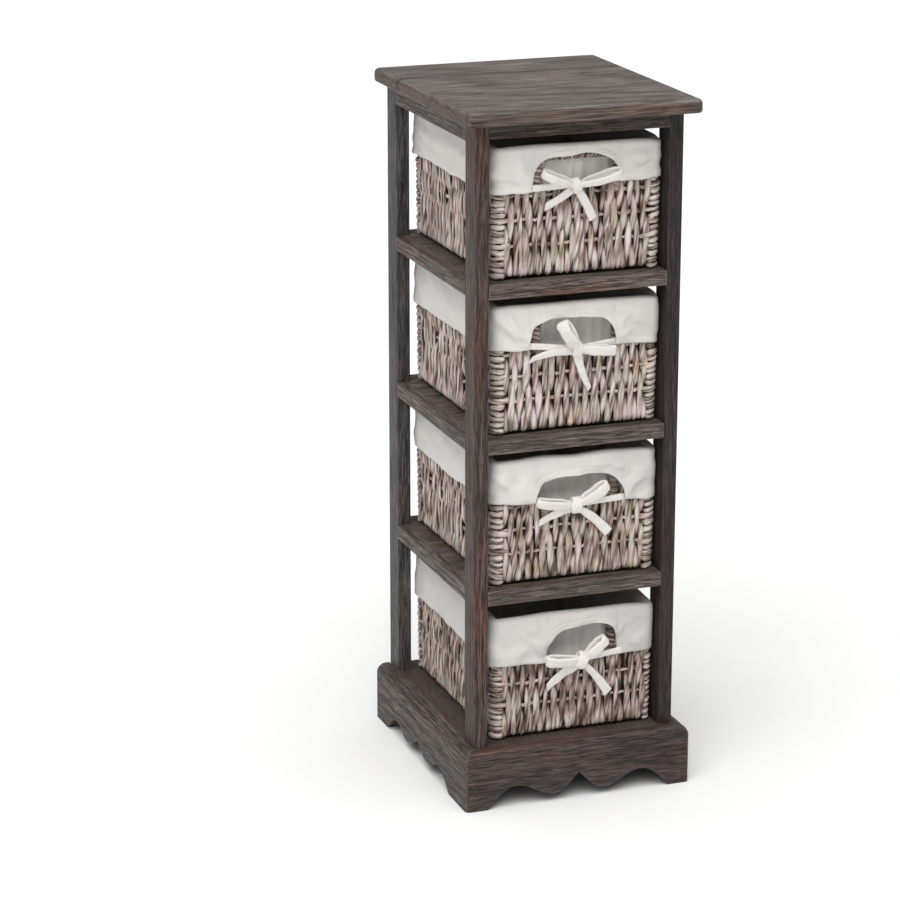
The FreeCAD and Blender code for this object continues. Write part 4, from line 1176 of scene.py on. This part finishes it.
BOWS = (
    dict(knot=(-6.2, 110.0), size=1.05, left=((-49.5, 127.5), 1.22, 12.5, 9.8), right=((48.5, 124.0), 1.24, 13.5, 9.8), tails=(((-43.0, 85.0), 1.2, 2.5, 0.85, 10.5, 0.66), ((18.0, 67.0), 1.5, -1.0, 1.08, 10.0, 0.66))),
    dict(knot=(-3.0, 101.0), size=1.05, left=((-25.0, 136.5), 1.02, 13.0, 15.0), right=((46.0, 95.5), 1.44, 6.5, 12.5), tails=(((-61.0, 91.0), -3.5, 4.0, 0.50, 12.6, 0.90), ((16.0, 49.0), -2.0, -2.0, 0.45, 13.0, 0.85))),
    dict(knot=(-1.5, 96.0), size=1.18, left=((-51.5, 104.0), 1.26, 8.0, 11.5), right=((37.5, 119.0), 1.40, 10.5, 13.5), tails=(((-47.5, 76.0), -2.0, 3.0, 0.62, 13.0, 0.90), ((43.5, 55.0), 2.5, -0.8, 1.45, 9.0, 0.60))),
    dict(knot=(8.0, 95.0), size=1.28, left=((-38.0, 100.0), 1.28, 8.5, 14.0), right=((38.0, 121.0), 1.42, 10.0, 13.5), tails=(((-35.0, 62.0), -2.5, 3.0, 0.50, 17.5, 0.95), ((46.0, 46.0), 2.0, -1.2, 1.9, 6.8, 0.60))),
)


def tie_height(x, p, bow):
    """Height of the tape's middle line on its way from an end of the cut-out to the knot."""
    kx, kz = bow["knot"]
    side = -1 if x < kx else 1
    x0 = p["left"] if side < 0 else p["right"]
    z0 = float(front_hem(np.array(x0 + side * 8.0), p)) + 4.4
    f = min(max((x - x0) / (kx - x0), 0.0), 1.0)
    return z0 + (kz + 1.0 - z0) * f


def tie(basket, p, bow):
    rb = Ribbons()
    kx, kz = bow["knot"]
    size = bow["size"]
    # tape from both ends of the cut-out to the knot
    for x0, side in ((p["left"], -1), (p["right"], 1)):
        z0 = float(front_hem(np.array(x0 + side * 8.0), p)) + 4.4
        xm = x0 * 0.5 + kx * 0.5
        pts = [(x0 + side * 5.0, 0.9, z0), (x0 + side * 0.5, 1.9, z0 - 0.1), (xm, 3.7, tie_height(xm, p, bow) - 0.3), (kx + side * 2.0, 5.0, kz + 0.8)]
        c = spline(pts, 30)
        f = np.linspace(0, 1, 30)
        rb.add(c, (0.0, 0.0, 1.0), 8.8 - 1.6 * f, 2.3, seed=basket * 9 + (side > 0))
    tip, tilt, belly, wide = bow["left"]
    tape_loop(rb, (kx, kz), tip, math.pi - tilt, belly, wide, lean=0.5, base=8.0, seed=basket * 9 + 2)
    tip, tilt, belly, wide = bow["right"]
    tape_loop(rb, (kx, kz), tip, tilt, belly, wide, lean=0.5, base=8.0, seed=basket * 9 + 3)
    for i, (end, bend, cut, flare, wide, neck) in enumerate(bow["tails"]):
        tape_tail(rb, (kx, kz - 2.0), end, bend, wide, cut, flare=flare, neck=neck, seed=basket * 9 + 4 + i)
    # knot: tape wrapped round the middle
    a = np.linspace(0, TAU, 40, endpoint=False)
    roll = (-0.25, 0.10, 0.0, 0.38)[basket - 1]
    vx, vz = math.sin(roll), math.cos(roll)
    c = np.stack([kx + vx * 7.4 * size * np.sin(a), 6.8 + 4.4 * np.cos(a), kz + vz * 7.4 * size * np.sin(a)], -1)
    rb.add(c, (vz, 0.0, -vx), (10.8 + 1.4 * np.cos(a * 2 + 0.6)) * size, 4.0, closed=True, n=16, seed=basket * 9 + 7)
    a2 = np.linspace(0, TAU, 28, endpoint=False)
    c = np.stack([kx + 1.2 + vx * 5.0 * size * np.sin(a2), 7.4 + 3.9 * np.cos(a2), kz - 0.8 + vz * 5.0 * size * np.sin(a2)], -1)
    rb.add(c, (vz, 0.0, -vx + 0.5), 9.0 * size, 4.0, closed=True, n=14, seed=basket * 9 + 8)
    return rb


# ---------------------------------------------------------------------------
# baskets
# ---------------------------------------------------------------------------
husk_mat = husk("woven_husk_washed_painted_shade")
# the last pair paints shade towards the right and on the lowest basket
cotton_mat = cotton("liner_cotton_plain", (0.752, 0.732, 0.707), (0.775, 0.748, 0.711), (0.87, 0.88))
ribbon_mat = cotton("ribbon_cotton_plain", (0.815, 0.785, 0.750), (0.835, 0.795, 0.752))
WASH = (0.555, 0.575, 0.515, 0.425)

for b in range(1, 5):
    at = BASKET_AT[b - 1]
    body = "basket_%d" % b
    walls, trim = weave(b, WASH[b - 1])
    ob = walls.build(body + "_weave", at, husk_mat, 10 + b)
    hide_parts(body + "_woven_body")
    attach(ob, body)
    ob = trim.build(body + "_weave_trim", at, husk_mat, 20 + b)
    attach(ob, body)

    p = LINERS[b - 1]
    cols, run, P, UVS = liner(b, p)
    ob = grid_mesh(body + "_cotton_liner", P, UVS, at, cotton_mat, True)
    sol = ob.modifiers.new("cloth", "SOLIDIFY")
    sol.thickness = 0.8 * MM
    sol.offset = 0.0
    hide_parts(body + "_liner")
    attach(ob, body)

    rb = tie(b, p, BOWS[b - 1])
    ob = rb.build(body + "_bow", at, ribbon_mat)
    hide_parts(body + "_ribbon_tie")
    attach(ob, body)
    print("bow area", b, rb.area * 1e-6)
